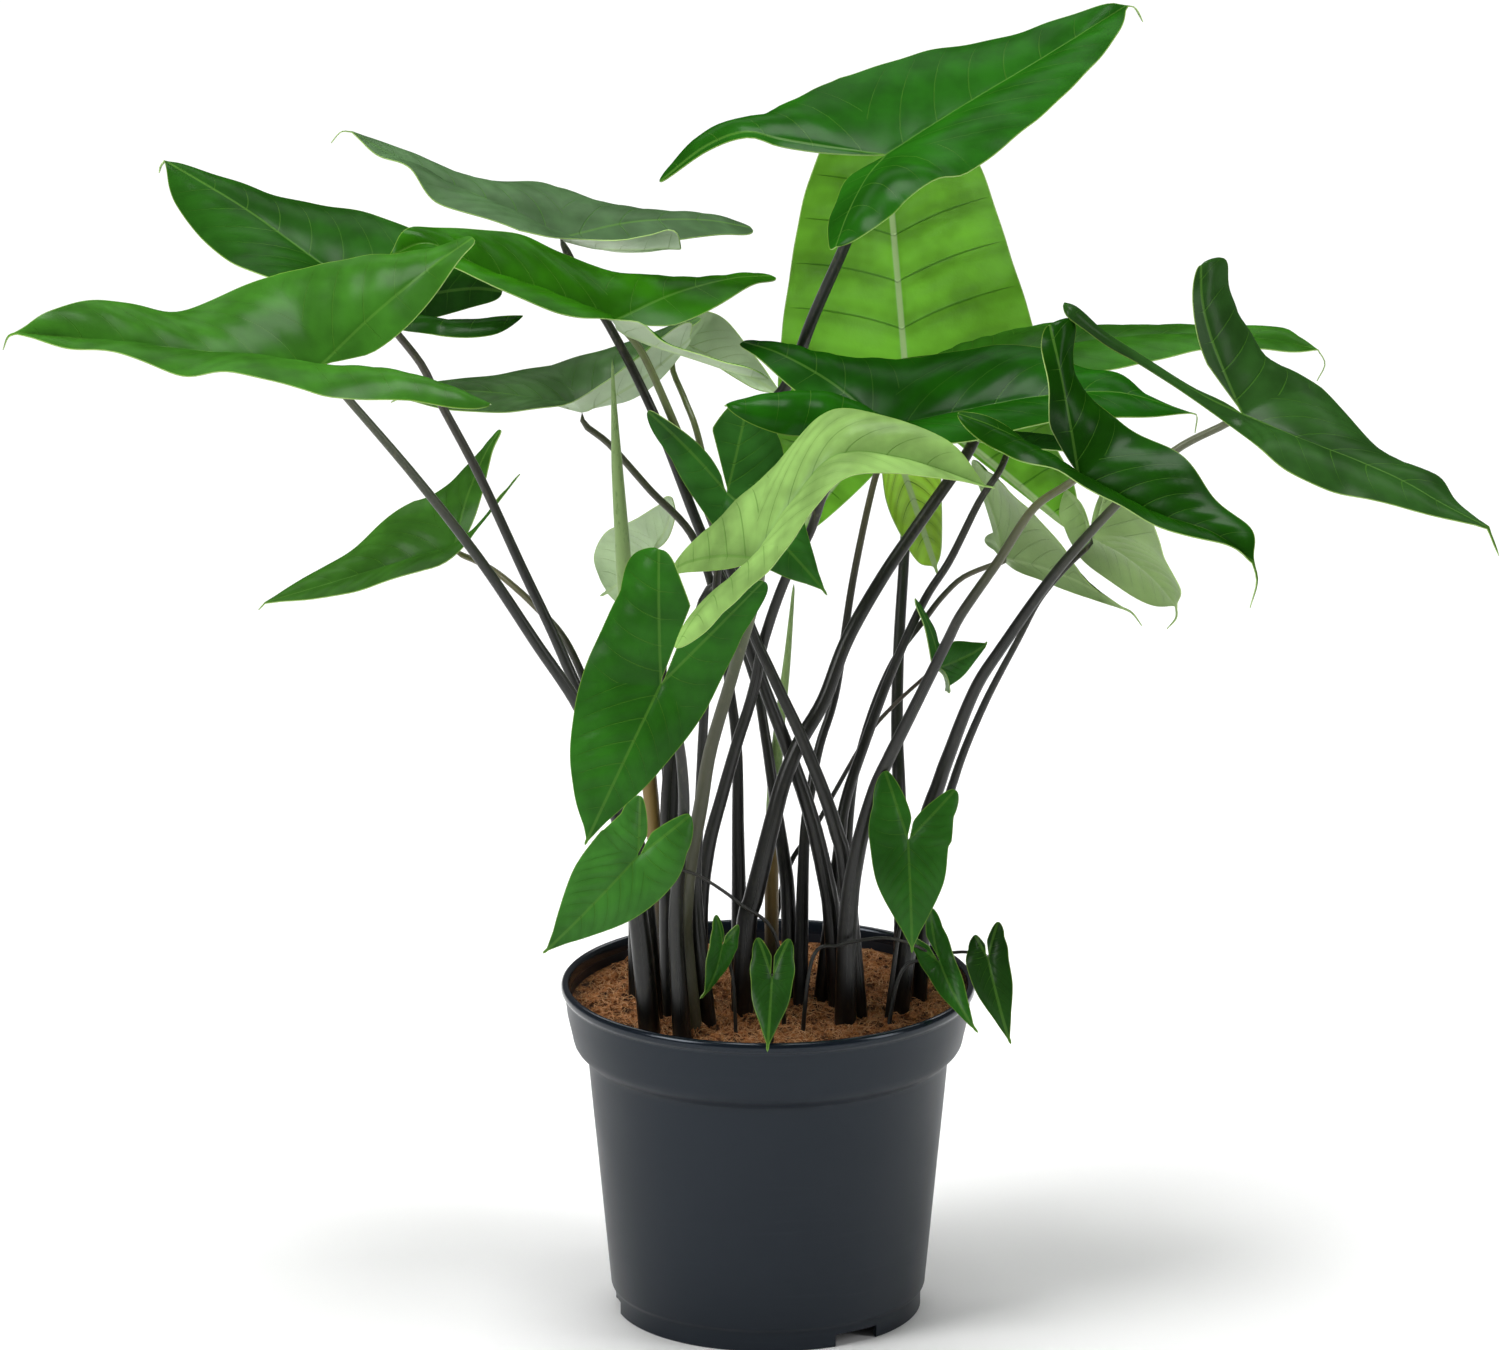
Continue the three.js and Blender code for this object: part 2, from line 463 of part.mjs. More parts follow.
// One row of points from the midrib or the lobe's vein out to the margin, arched upwards.
function bladeRow(inner, outer, frame, sign, arch, columns) {
  const chord = new THREE.Vector3().subVectors(outer, inner);
  const width = chord.length();
  const way = width > 1e-6 ? chord.clone().normalize()
    : frame.side.clone().multiplyScalar(sign);
  const up = across(frame.up, way);
  const row = [];
  for (let c = 0; c <= columns; c += 1) {
    const share = c / columns;
    let p;
    if (Math.abs(arch) <= 0.32 || width < 1e-3) {
      p = inner.clone().addScaledVector(chord, share);
      p.addScaledVector(up, 4 * arch * width * share * (1 - share));
    } else {
      const height = arch * width;
      const radius = (width * width / 4 + height * height) / (2 * height);
      const half = Math.atan2(width / 2, radius - height);
      const angle = -half + 2 * half * share;
      p = inner.clone().addScaledVector(chord, 0.5);
      p.addScaledVector(way, radius * Math.sin(angle));
      p.addScaledVector(up, radius * Math.cos(angle) - (radius - height));
    }
    row.push(p);
  }
  return { row, way, up };
}

// The middle surface of a blade as points and triangles.
function bladeSheet(leaf, rows, lobeRows, columns) {
  const frame = leafFrame(leaf);
  const { joint, tip, lobes, ahead, up, length } = frame;
  const rib = midrib(leaf, frame);
  const ribCurve = curveThrough(rib);
  const tail = (leaf.tail ?? []).map(([u, v, d]) => seen(u, v, d ?? leaf.tip[2]));
  if (!tail.length) {
    tail.push(tip.clone().addScaledVector(ahead, 5).addScaledVector(up, -3));
  }
  const apart = lobes.left.clone().sub(joint).normalize();
  apart.sub(lobes.right.clone().sub(joint).normalize()).normalize();
  const points = [];
  const triangles = [];
  for (const name of ['left', 'right']) {
    const sign = name === 'left' ? 1 : -1;
    const k = sign > 0 ? 0 : 1;
    const lobe = lobes[name];
    const back = new THREE.Vector3().subVectors(lobe, joint);
    const lobeLength = back.length();
    const backWay = back.clone().normalize();
    const path = margin(leaf, name, frame, rib);
    const marginCurve = curveThrough(path);
    const slant = Math.tan(THREE.MathUtils.degToRad(25));
    let meeting = 0.5;
    for (let f = 0; f <= 0.95; f += 0.01) {
      const rel = marginCurve.getPointAt(f).sub(joint);
      const along = rel.dot(ahead);
      const aside = rel.addScaledVector(ahead, -along).length();
      if (along > slant * aside) meeting = f + 0.01;
    }
    const arch = (leaf.curl ?? [0.1, 0.1])[k];
    const lobeArch = (leaf.roll ?? [0.12, 0.12])[k];
    const bow = (leaf.bow ?? [0.06, 0.06])[k] * lobeLength;
    const inner = (leaf.inner ?? [0.16, 0.16])[k] * lobeLength;
    const grid = [];
    const aside = frame.side.clone().multiplyScalar(sign);
    for (const p of [...tail].reverse()) {
      const wide = p === tail[tail.length - 1] ? 0 : 0.8;
      const row = Array.from({ length: columns + 1 }, (_, c) => (
        p.clone().addScaledVector(aside, wide * c / columns)));
      grid.push([p, ...row]);
    }
    for (let i = 0; i < rows; i += 1) {
      const share = i / rows;
      const from = ribCurve.getPointAt(share);
      const to = marginCurve.getPointAt(meeting * share);
      const least = TIP_HALF_WIDTH * Math.max(0, 1 - from.distanceTo(to) / 6);
      to.addScaledVector(aside, least);
      const { row } = bladeRow(from, to, frame, sign, arch, columns);
      grid.push([row[0], ...row]);
    }
    const lift = across(up, backWay);
    const readings = leaf[`${name}_vein`];
    const bowed = [
      joint.clone().addScaledVector(back, 0.35).addScaledVector(lift, bow),
      joint.clone().addScaledVector(back, 0.72).addScaledVector(lift, 0.9 * bow),
    ];
    const inside = readings ? readPath(leaf.joint, readings, leaf[name]) : bowed;
    const vein = curveThrough([joint, ...inside, lobe]);
    for (let i = 0; i <= lobeRows; i += 1) {
      const share = 1 - (1 - i / lobeRows) ** 1.5;
      const from = vein.getPointAt(share);
      const to = marginCurve.getPointAt(meeting + (1 - meeting) * share);
      const last = (share - LOBE_END) / (1 - LOBE_END);
      if (last > 0 && last < 1) {
        const round = Math.sqrt((1 + last) / (1 - last)) - 1;
        to.addScaledVector(to.clone().sub(from), LOBE_ROUNDING * round);
      }
      const t = THREE.MathUtils.smoothstep(share, 0, 0.6);
      const bend = THREE.MathUtils.lerp(arch, lobeArch, t);
      const { row, way, up: rowUp } = bladeRow(from, to, frame, sign, bend, columns);
      const run = readings ? vein.getTangentAt(share) : backWay;
      const inward = across(way.clone().addScaledVector(rowUp, 2.6 * bend).negate(), run);
      const closing = -sign * inward.dot(apart);
      const room = sign * from.clone().sub(joint).dot(apart) - SINUS_GAP;
      const full = inner * Math.sin(Math.PI * share ** 0.8) ** (0.9 - 0.45 * share);
      const most = closing > 0 ? Math.max(room, 0) / closing : full;
      const reach = share > 0 && share < 1 ? Math.min(full, most) : 0;
      grid.push([from.clone().addScaledVector(inward, reach), ...row]);
    }
    const start = points.length;
    const across_ = columns + 2;
    for (const row of grid) points.push(...row);
    for (let i = 0; i < grid.length - 1; i += 1) {
      for (let j = 0; j < across_ - 1; j += 1) {
        if (j === 0 && i < tail.length + rows) continue;
        const a = start + i * across_ + j;
        const b = a + across_;
        const faces = [[a, b, b + 1], [a, b + 1, a + 1]];
        for (const f of faces) triangles.push(sign > 0 ? [f[0], f[2], f[1]] : f);
      }
    }
  }
  return { points, triangles, frame };
}

// Joins points that coincide and drops the triangles that this leaves flat.
function joined(points, triangles) {
  const kept = [];
  const index = points.map((p) => {
    let k = kept.findIndex((q) => q.distanceTo(p) < 0.02);
    if (k < 0) {
      kept.push(p);
      k = kept.length - 1;
    }
    return k;
  });
  const faces = triangles.map((t) => t.map((i) => index[i]))
    .filter(([a, b, c]) => a !== b && b !== c && c !== a);
  return { points: kept, triangles: faces };
}

// Gives a sheet its thickness: a lower and an upper face triangulated alike, and a rim between.
function thickened(sheet, thickness) {
  const { points, triangles } = sheet;
  const normals = points.map(() => new THREE.Vector3());
  for (const [a, b, c] of triangles) {
    const ab = points[b].clone().sub(points[a]);
    const n = ab.cross(points[c].clone().sub(points[a]));
    for (const i of [a, b, c]) normals[i].add(n);
  }
  normals.forEach((n) => n.normalize());
  const edges = new Map();
  for (const [a, b, c] of triangles) {
    for (const [p, q] of [[a, b], [b, c], [c, a]]) edges.set(p + ',' + q, [p, q]);
  }
  const rim = [...edges.values()].filter(([p, q]) => !edges.has(q + ',' + p));
  const count = points.length;
  const vertices = [];
  for (const sign of [1, -1]) {
    points.forEach((p, i) => {
      const q = p.clone().addScaledVector(normals[i], sign * thickness / 2);
      vertices.push(q.x, q.y, q.z);
    });
  }
  const faces = [];
  for (const [a, b, c] of triangles) faces.push([a, b, c], [a + count, c + count, b + count]);
  for (const [p, q] of rim) faces.push([q, p, p + count], [q, p + count, q + count]);
  return { vertices, faces };
}

function solid(vertices, faces) {
  const made = new wasm.Manifold(new wasm.Mesh({
    numProp: 3,
    vertProperties: new Float32Array(vertices),
    triVerts: new Uint32Array(faces.flat()),
  }));
  if (made.volume() > 0) return made;
  return new wasm.Manifold(new wasm.Mesh({
    numProp: 3,
    vertProperties: new Float32Array(vertices),
    triVerts: new Uint32Array(faces.map(([a, b, c]) => [a, c, b]).flat()),
  }));
}

function solidOf(geometry) {
  const bare = geometry.clone();
  bare.deleteAttribute('normal');
  bare.deleteAttribute('uv');
  const merged = mergeVertices(bare, 1e-3);
  const index = Array.from(merged.index.array);
  const faces = [];
  for (let i = 0; i < index.length; i += 3) {
    const f = index.slice(i, i + 3);
    if (new Set(f).size === 3) faces.push(f);
  }
  return solid(merged.attributes.position.array, faces);
}

function geometryOf(made) {
  const mesh = made.getMesh();
  const geometry = new THREE.BufferGeometry();
  const flat = [];
  for (let i = 0; i < mesh.vertProperties.length; i += mesh.numProp) {
    flat.push(mesh.vertProperties[i], mesh.vertProperties[i + 1], mesh.vertProperties[i + 2]);
  }
  geometry.setAttribute('position', new THREE.BufferAttribute(new Float32Array(flat), 3));
  geometry.setIndex(Array.from(mesh.triVerts));
  geometry.computeVertexNormals();
  return geometry;
}

function largest(made) {
  const pieces = made.decompose();
  return pieces.reduce((best, piece) => (piece.volume() > best.volume() ? piece : best));
}

// A round stem of changing radius along a curve, turned on the lathe and then bent.
function stem(points, radii, sides, steps, extra, upto = 1) {
  const curve = curveThrough(points);
  const profile = [new THREE.Vector2(0, 0)];
  for (let i = 0; i <= steps; i += 1) {
    const share = i / steps;
    const place = share * (radii.length - 1);
    const low = Math.min(Math.floor(place), radii.length - 2);
    const radius = THREE.MathUtils.lerp(radii[low], radii[low + 1], place - low);
    profile.push(new THREE.Vector2(radius + extra, share));
  }
  profile.push(new THREE.Vector2(0, 1));
  const geometry = new THREE.LatheGeometry(profile, sides);
  const position = geometry.attributes.position;
  const ways = [];
  const normals = [];
  for (let i = 0; i <= steps; i += 1) {
    const way = curve.getTangentAt(upto * i / steps);
    ways.push(way);
    normals.push(across(i ? normals[i - 1] : SIGHT_RIGHT, way));
  }
  for (let i = 0; i < position.count; i += 1) {
    const share = position.getY(i);
    const step = Math.round(share * steps);
    const side = new THREE.Vector3().crossVectors(ways[step], normals[step]);
    const p = curve.getPointAt(upto * THREE.MathUtils.clamp(share, 0, 1));
    if (step === 0) p.z -= extra;
    p.addScaledVector(normals[step], position.getX(i));
    p.addScaledVector(side, position.getZ(i));
    position.setXYZ(i, p.x, p.y, p.z);
  }
  return solidOf(geometry);
}

// A leaf's stalk from its foot up to its blade, shortened until it just clears the underside.
function seatedStalk(leaf, blade, joint, radii, steps) {
  const way = [new THREE.Vector3(...leaf.foot), ...leaf.stalk.map(point).reverse(), joint];
  const length = curveThrough(way).getLength();
  for (let back = 0.6; back < 60; back += 0.3) {
    const upto = 1 - back / length;
    const stalk = stem(way, radii, STALK_SIDES, steps, 0, upto);
    if (stalk.minGap(blade, 1) >= STALK_GAP) return { stalk, way, upto };
  }
  throw new Error('a stalk finds no seat');
}

function add(group, name, made, colour, roughness) {
  const material = new THREE.MeshStandardMaterial({ color: colour, roughness, metalness: 0 });
  const mesh = new THREE.Mesh(geometryOf(made), material);
  mesh.name = name;
  group.add(mesh);
}

// Pot: one shell with a rolled lip, a shoulder, a raised channel with drain holes and a notched
// foot.
function potSolid() {
  const rim = RIM_DIAMETER / 2;
  const foot = BASE_RADIUS - POT_WALL;
  const floor = FLOOR_RISE + POT_WALL;
  const profile = [
    [0, 0], [PAD_RADIUS, 0], [PAD_RADIUS + 4, FLOOR_RISE], [foot, FLOOR_RISE], [foot, 0],
    [BASE_RADIUS, 0], [BASE_RADIUS, 10.5], [91.3, 14.5], [94.2, 45], [99, 95], [104.6, 152.5],
    [112, 160.5], [113.7, 166], [116.3, 178], [117.6, 189], [rim, 193.5], [rim - 1.6, POT_HEIGHT],
    [115.4, POT_HEIGHT - 0.6], [114.2, 190], ...POT_INSIDE,
    [PAD_RADIUS + 4, floor], [PAD_RADIUS, POT_WALL], [0, POT_WALL],
  ].map(([r, z]) => new THREE.Vector2(r, z));
  const lathe = new THREE.LatheGeometry(profile, POT_SIDES).rotateX(Math.PI / 2);
  let pot = solidOf(lathe);
  for (let i = 0; i < DRAIN_HOLES; i += 1) {
    const angle = (i + 0.5) * 2 * Math.PI / DRAIN_HOLES;
    const hole = new THREE.CylinderGeometry(DRAIN_RADIUS, DRAIN_RADIUS, 4 * POT_WALL, 10);
    hole.rotateX(Math.PI / 2);
    hole.translate(DRAIN_CIRCLE * Math.cos(angle), DRAIN_CIRCLE * Math.sin(angle), FLOOR_RISE);
    pot = pot.subtract(solidOf(hole));
  }
  for (let i = 0; i < NOTCHES; i += 1) {
    const notch = new THREE.BoxGeometry(9, NOTCH_WIDTH, 2 * NOTCH_HEIGHT);
    notch.translate(BASE_RADIUS + 0.3, 0, 0).rotateZ(i * 2 * Math.PI / NOTCHES - NOTCH_TURN);
    pot = pot.subtract(solidOf(notch));
  }
  return pot;
}

// Compost: fills the pot with a lumpy top.
function compostSolid() {
  const gap = COMPOST_GAP;
  const floor = FLOOR_RISE + POT_WALL + gap;
  const profile = [
    [0, POT_WALL + gap], [PAD_RADIUS - gap, POT_WALL + gap], [PAD_RADIUS + 4 - gap, floor],
    ...POT_INSIDE.map(([r, z]) => [r - gap, z + gap]).reverse(), [114 - gap, COMPOST_TOP + 2],
    [96, COMPOST_TOP], [74, COMPOST_TOP + 1], [48, COMPOST_TOP + 2],
    [22, COMPOST_TOP + 2], [0, COMPOST_TOP + 2],
  ].map(([r, z]) => new THREE.Vector2(r, z));
  const lathe = new THREE.LatheGeometry(profile, POT_SIDES);
  lathe.rotateX(Math.PI / 2);
  const position = lathe.attributes.position;
  for (let i = 0; i < position.count; i += 1) {
    const [x, y, z] = [position.getX(i), position.getY(i), position.getZ(i)];
    const r = Math.hypot(x, y);
    if (z < COMPOST_TOP - 1 || r > 105) continue;
    const lump = 1.6 * Math.sin(x * 0.11 + 1) * Math.cos(y * 0.13) + 1.2 * Math.sin(x * 0.05 - y * 0.09);
    position.setZ(i, z + lump);
  }
  return solidOf(lathe);
}

const group = new THREE.Group();
add(group, 'pot', potSolid(), 0x262a2e, 0.45);

let compost = compostSolid();
const leafRows = { large: [6, 5, 2], small: [4, 3, 1] };
for (const [name, leaf] of Object.entries(LEAVES)) {
  const isSmall = name.startsWith('baby') || name === 'tiny';
  const sheet = bladeSheet(leaf, ...leafRows[isSmall ? 'small' : 'large']);
  const flat = joined(sheet.points, sheet.triangles);
  const body = thickened(flat, BLADE_THICKNESS);
  const blade = solid(body.vertices, body.faces);
  add(group, 'blade_' + name, blade, leaf.colour ?? 0x2c6a1e, 0.35);

  const radii = STALK_SHAPE.map((f) => THREE.MathUtils.lerp(leaf.thin, leaf.thick, f));
  const steps = isSmall ? 8 : 12;
  const { stalk, way, upto } = seatedStalk(leaf, blade, sheet.frame.joint, radii, steps);
  add(group, 'stalk_' + name, stalk, 0x2a2626, 0.5);
  compost = compost.subtract(stem(way, radii, STALK_SIDES, steps, STALK_HOLE_GAP, upto));
}
for (const [name, spear] of Object.entries(SPEARS)) {
  const way = [new THREE.Vector3(...spear.foot), ...spear.path.map(point).reverse()];
  const radii = [...spear.radii].reverse();
  add(group, name, stem(way, radii, STALK_SIDES, 10, 0), 0x9fb56a, 0.5);
  compost = compost.subtract(stem(way, radii, STALK_SIDES, 10, STALK_HOLE_GAP));
}
add(group, 'compost', largest(compost), 0x4a2c1c, 0.95);

export default group;
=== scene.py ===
"""A potted black zebrina alocasia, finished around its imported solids. Metres, +Z up."""
import math

import bpy
import numpy as np
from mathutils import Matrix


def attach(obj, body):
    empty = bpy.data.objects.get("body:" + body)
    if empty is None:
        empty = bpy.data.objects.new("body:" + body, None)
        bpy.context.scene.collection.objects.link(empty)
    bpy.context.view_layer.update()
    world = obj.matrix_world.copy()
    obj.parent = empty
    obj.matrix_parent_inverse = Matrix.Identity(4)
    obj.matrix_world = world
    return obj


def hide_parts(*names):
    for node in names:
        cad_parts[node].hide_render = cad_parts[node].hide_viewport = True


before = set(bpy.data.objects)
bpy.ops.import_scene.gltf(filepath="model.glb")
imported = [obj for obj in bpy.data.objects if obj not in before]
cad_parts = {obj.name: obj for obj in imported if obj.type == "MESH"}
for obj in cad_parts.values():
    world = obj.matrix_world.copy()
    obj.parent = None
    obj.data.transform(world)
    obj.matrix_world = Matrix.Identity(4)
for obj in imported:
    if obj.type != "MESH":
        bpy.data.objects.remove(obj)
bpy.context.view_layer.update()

# The view and the room. The eye stands far in front of the plant and looks a little down on it;
# the floor is one plain pale sheet that turns into an even white, lit by wide soft studio lamps.
RIM_DIAMETER = 0.240
RIM_SPAN = 417                      # the rim's width in units of sight
SIGHT_UNIT = RIM_DIAMETER / RIM_SPAN
SIGHT_TILT = math.radians(16.6)
SIGHT_DISTANCE = 8.0
SIGHT_TARGET = np.array([-0.0105, 0.0, 0.3814])
SIGHT_CENTRE = (750, 675)
SIGHT_WAY = np.array([0.0, math.cos(SIGHT_TILT), -math.sin(SIGHT_TILT)])
SIGHT_RIGHT = np.array([1.0, 0.0, 0.0])
SIGHT_UP = np.cross(SIGHT_RIGHT, SIGHT_WAY)
EYE = SIGHT_TARGET - SIGHT_DISTANCE * SIGHT_WAY
SENSOR = 36.0
PICTURE_WIDTH = 1500
FLOOR_SIDE = 7.0
FLOOR_WHITE = (0.94, 0.94, 0.94, 1)
SKY = (1.0, 1.0, 1.0, 1)
SKY_STRENGTH = 0.12
GROUND_STRENGTH = 1.05              # below the horizon, and of the floor's far part
HORIZON_BLEND = 0.05
FADE_REACH = (0.9, 2.2)             # where the floor's paint turns into an even white backdrop
LAMPS = {                           # place, aimed at, width, height, power
    "lamp_left": ((-2.6, -1.7, 2.3), (0, 0, 0.45), 1.5, 1.9, 84),
    "lamp_right": ((2.9, -1.2, 1.5), (0, 0, 0.4), 0.9, 2.0, 28),
    "lamp_top": ((0.0, -0.2, 3.2), (0, 0, 0.4), 1.4, 1.4, 76),
    "lamp_far_floor": ((0, 2.6, 2.8), (0, 2.6, 0), 4.4, 2.0, 84),
}


def pick(*bodies):
    """Leaves edit mode and selects only these bodies, the first of them as the active one."""
    if bpy.context.object and bpy.context.object.mode != "OBJECT":
        bpy.ops.object.mode_set(mode="OBJECT")
    bpy.ops.object.select_all(action="DESELECT")
    for body in bodies:
        body.select_set(True)
    if bodies:
        bpy.context.view_layer.objects.active = bodies[0]


class Wiring:
    """Adds shader nodes to a tree; a term is a socket, a number or a colour."""

    def __init__(self, tree):
        self.nodes = tree.nodes
        self.link = tree.links.new

    def node(self, kind, values=(), **settings):
        """A node of a kind with its settings, and default values for its sockets by index or name."""
        node = self.nodes.new("ShaderNode" + kind)
        for key, value in settings.items():
            setattr(node, key, value)
        for socket, value in dict(values).items():
            node.inputs[socket].default_value = value
        return node

    def feed(self, node, terms):
        """Gives a node its terms by socket, and returns the node."""
        for socket, term in terms.items():
            if isinstance(term, bpy.types.NodeSocket):
                self.link(term, node.inputs[socket])
            else:
                node.inputs[socket].default_value = term
        return node

    def maths(self, operation, *terms):
        return self.feed(self.node("Math", operation=operation), dict(enumerate(terms))).outputs[0]

    def times(self, first, second):
        return self.maths("MULTIPLY", first, second)

    def ranged(self, value, low, high, to_low=0.0, to_high=1.0, kind="SMOOTHSTEP"):
        """A value from low..high, brought onto to_low..to_high."""
        node = self.node("MapRange", interpolation_type=kind)
        terms = {"Value": value, "From Min": low, "From Max": high, "To Min": to_low, "To Max": to_high}
        return self.feed(node, terms).outputs["Result"]

    def mixed(self, factor, first, second, blend="MIX"):
        """The mix of two colours."""
        node = self.node("Mix", data_type="RGBA", blend_type=blend)
        return self.feed(node, {0: factor, 6: first, 7: second}).outputs[2]

    def noise(self, vector, scale, detail=3.0, roughness=0.5):
        values = {"Scale": scale, "Detail": detail, "Roughness": roughness}
        return self.feed(self.node("TexNoise", values), {"Vector": vector}).outputs["Fac"]

    def split(self, vector):
        """The three parts of a vector."""
        return self.feed(self.node("SeparateXYZ"), {0: vector}).outputs

    def place(self):
        return self.node("TexCoord").outputs["Object"]

    def squashed(self, vector, scale):
        return self.feed(self.node("Mapping", {"Scale": scale}), {"Vector": vector}).outputs["Vector"]

    def relief(self, shader, height, strength, distance):
        """A Bump node from a height into the shader's normal."""
        bump = self.feed(self.node("Bump", {"Strength": strength, "Distance": distance}), {"Height": height})
        self.link(bump.outputs["Normal"], shader.inputs["Normal"])


def new_material(name, **values):
    """A node material, its wiring, and its Principled shader with uniform values on its sockets."""
    material = bpy.data.materials.new(name)
    material.use_nodes = True
    shader = material.node_tree.nodes["Principled BSDF"]
    for socket, value in values.items():
        shader.inputs[socket.replace("_", " ")].default_value = value
    return material, Wiring(material.node_tree), shader


pick()
bpy.ops.object.camera_add(location=EYE)
camera = bpy.context.object
camera.name = "camera"
camera.data.sensor_width = SENSOR
camera.data.lens = SENSOR * SIGHT_DISTANCE / (PICTURE_WIDTH * SIGHT_UNIT)
camera.data.clip_end = 60
camera.rotation_euler = (math.pi / 2 - SIGHT_TILT, 0, 0)
bpy.context.scene.camera = camera
bpy.context.scene.view_settings.view_transform = "Standard"

pick()
bpy.ops.mesh.primitive_plane_add(size=FLOOR_SIDE)
floor = bpy.context.object
floor.name = "floor"
floor_paint, wires, shader = new_material("floor_paint", Roughness=0.9, Emission_Color=(1, 1, 1, 1))
reach = wires.feed(wires.node("VectorMath", operation="LENGTH"), {0: wires.place()}).outputs["Value"]
fade = wires.ranged(reach, *FADE_REACH)
wires.feed(shader, {"Emission Strength": wires.times(fade, GROUND_STRENGTH),
                    "Base Color": wires.mixed(fade, FLOOR_WHITE, (0, 0, 0, 1))})
floor.data.materials.append(floor_paint)

for name, (place, target, width, height, power) in LAMPS.items():
    pick()
    bpy.ops.object.light_add(type="AREA", location=place)
    lamp = bpy.context.object
    lamp.name = name
    lamp.data.shape = "RECTANGLE"
    lamp.data.size = width
    lamp.data.size_y = height
    lamp.data.energy = power
    way = np.array(target, float) - np.array(place, float)
    lamp.rotation_euler = (math.acos(-way[2] / np.linalg.norm(way)), 0, math.atan2(-way[0], way[1]))

world = bpy.data.worlds.new("studio")
world.use_nodes = True
wires = Wiring(world.node_tree)
height = wires.split(wires.node("TexCoord").outputs["Generated"])[2]
wires.feed(wires.nodes["Background"], {
    "Color": SKY,
    "Strength": wires.ranged(height, -HORIZON_BLEND, 0.0, GROUND_STRENGTH, SKY_STRENGTH, "LINEAR")})
bpy.context.scene.world = world

# The pot: one thin shell of black injection-moulded polypropylene, with a rolled lip, a deep collar
# for stacking and gripping, a slim foot with drain notches, and drain holes in its raised floor.
POT_SIDES = 128
POT_PROFILE = [                     # radius and height, from the middle of the base round to the inside
    (0.010, 0.0), (0.050, 0.0), (0.0520, 0.0012), (0.0556, 0.0055), (0.0575, 0.006), (0.0850, 0.006),
    (0.0864, 0.0052), (0.0866, 0.0008), (0.0870, 0.0), (0.0882, 0.0), (0.0888, 0.0007), (0.0888, 0.0105),
    (0.0892, 0.0120), (0.0909, 0.0136), (0.0913, 0.0148), (0.0942, 0.045), (0.0966, 0.070), (0.0990, 0.095),
    (0.1017, 0.122), (0.1043, 0.1500), (0.1046, 0.1522), (0.1050, 0.1532), (0.1062, 0.1543),
    (0.1090, 0.1567), (0.1111, 0.1589), (0.1124, 0.1611), (0.1131, 0.1636), (0.1137, 0.1665),
    (0.1163, 0.178), (0.1176, 0.1885), (0.1180, 0.1900), (0.1192, 0.1912), (0.1199, 0.1926),
    (0.1200, 0.1942), (0.1196, 0.1958), (0.1186, 0.1968), (0.1172, 0.1970), (0.1160, 0.1963),
    (0.1154, 0.1948), (0.1148, 0.1915), (0.1142, 0.187), (0.1139, 0.178), (0.1114, 0.167),
    (0.1104, 0.162), (0.1024, 0.1534), (0.0968, 0.095), (0.0920, 0.045), (0.0889, 0.015),
    (0.0868, 0.0090), (0.0860, 0.0083), (0.056, 0.0082), (0.052, 0.0024), (0.010, 0.0022),
]
DRAIN_HOLES = 8
DRAIN_RADIUS = 0.005
DRAIN_CIRCLE = 0.070
DRAIN_DEPTH = 0.010
DRAIN_SIDES = 32
FLOOR_RISE = 0.006
NOTCHES = 3
NOTCH_WIDTH = 0.029
NOTCH_DEPTH = 0.009
NOTCH_HEIGHT = 0.0075
NOTCH_TURN = 0.951
NOTCH_CIRCLE = 0.0891
POT_CREASE = 40                     # degrees; a flatter edge is shaded smooth
POT_BLACK = (0.0055, 0.0085, 0.0135, 1)
POT_DUSTY = (0.010, 0.014, 0.020, 1)
POT_ROUGHNESS = (0.34, 0.46)
LIP_HEIGHTS = (0.1885, 0.1910)
LIP_ROUGHNESS = 0.16


def drawn_up(name, profile, sides):
    """A body of revolution: one ring, drawn on ring by ring along its profile, closed at both ends."""
    pick()
    radius, height = profile[0]
    bpy.ops.mesh.primitive_circle_add(vertices=sides, radius=radius, location=(0, 0, height))
    body = bpy.context.object
    body.name = name
    bpy.ops.object.transform_apply(location=True)
    bpy.ops.object.mode_set(mode="EDIT")
    bpy.ops.mesh.select_mode(type="EDGE")
    bpy.ops.mesh.select_all(action="SELECT")
    for next_radius, next_height in profile[1:]:
        bpy.ops.mesh.extrude_edges_move(TRANSFORM_OT_translate={"value": (0, 0, next_height - height)})
        stretch = next_radius / radius
        bpy.ops.transform.resize(value=(stretch, stretch, 1), center_override=(0, 0, next_height))
        radius, height = next_radius, next_height
    bpy.ops.mesh.edge_face_add()
    bpy.ops.mesh.select_all(action="DESELECT")
    bpy.ops.mesh.select_non_manifold()
    bpy.ops.mesh.edge_face_add()
    bpy.ops.mesh.select_all(action="SELECT")
    bpy.ops.mesh.normals_make_consistent(inside=False)
    bpy.ops.object.mode_set(mode="OBJECT")
    return body


def cut_with(body, cutter):
    """Takes the cutter's shape out of a body and removes the cutter."""
    pick(body)
    cut = body.modifiers.new("cut", "BOOLEAN")
    cut.operation = "DIFFERENCE"
    cut.object = cutter
    cut.solver = "EXACT"
    bpy.ops.object.modifier_apply(modifier="cut")
    bpy.data.objects.remove(cutter)


def smooth_by_angle(body, degrees):
    pick(body)
    bpy.ops.object.shade_smooth_by_angle(angle=math.radians(degrees))


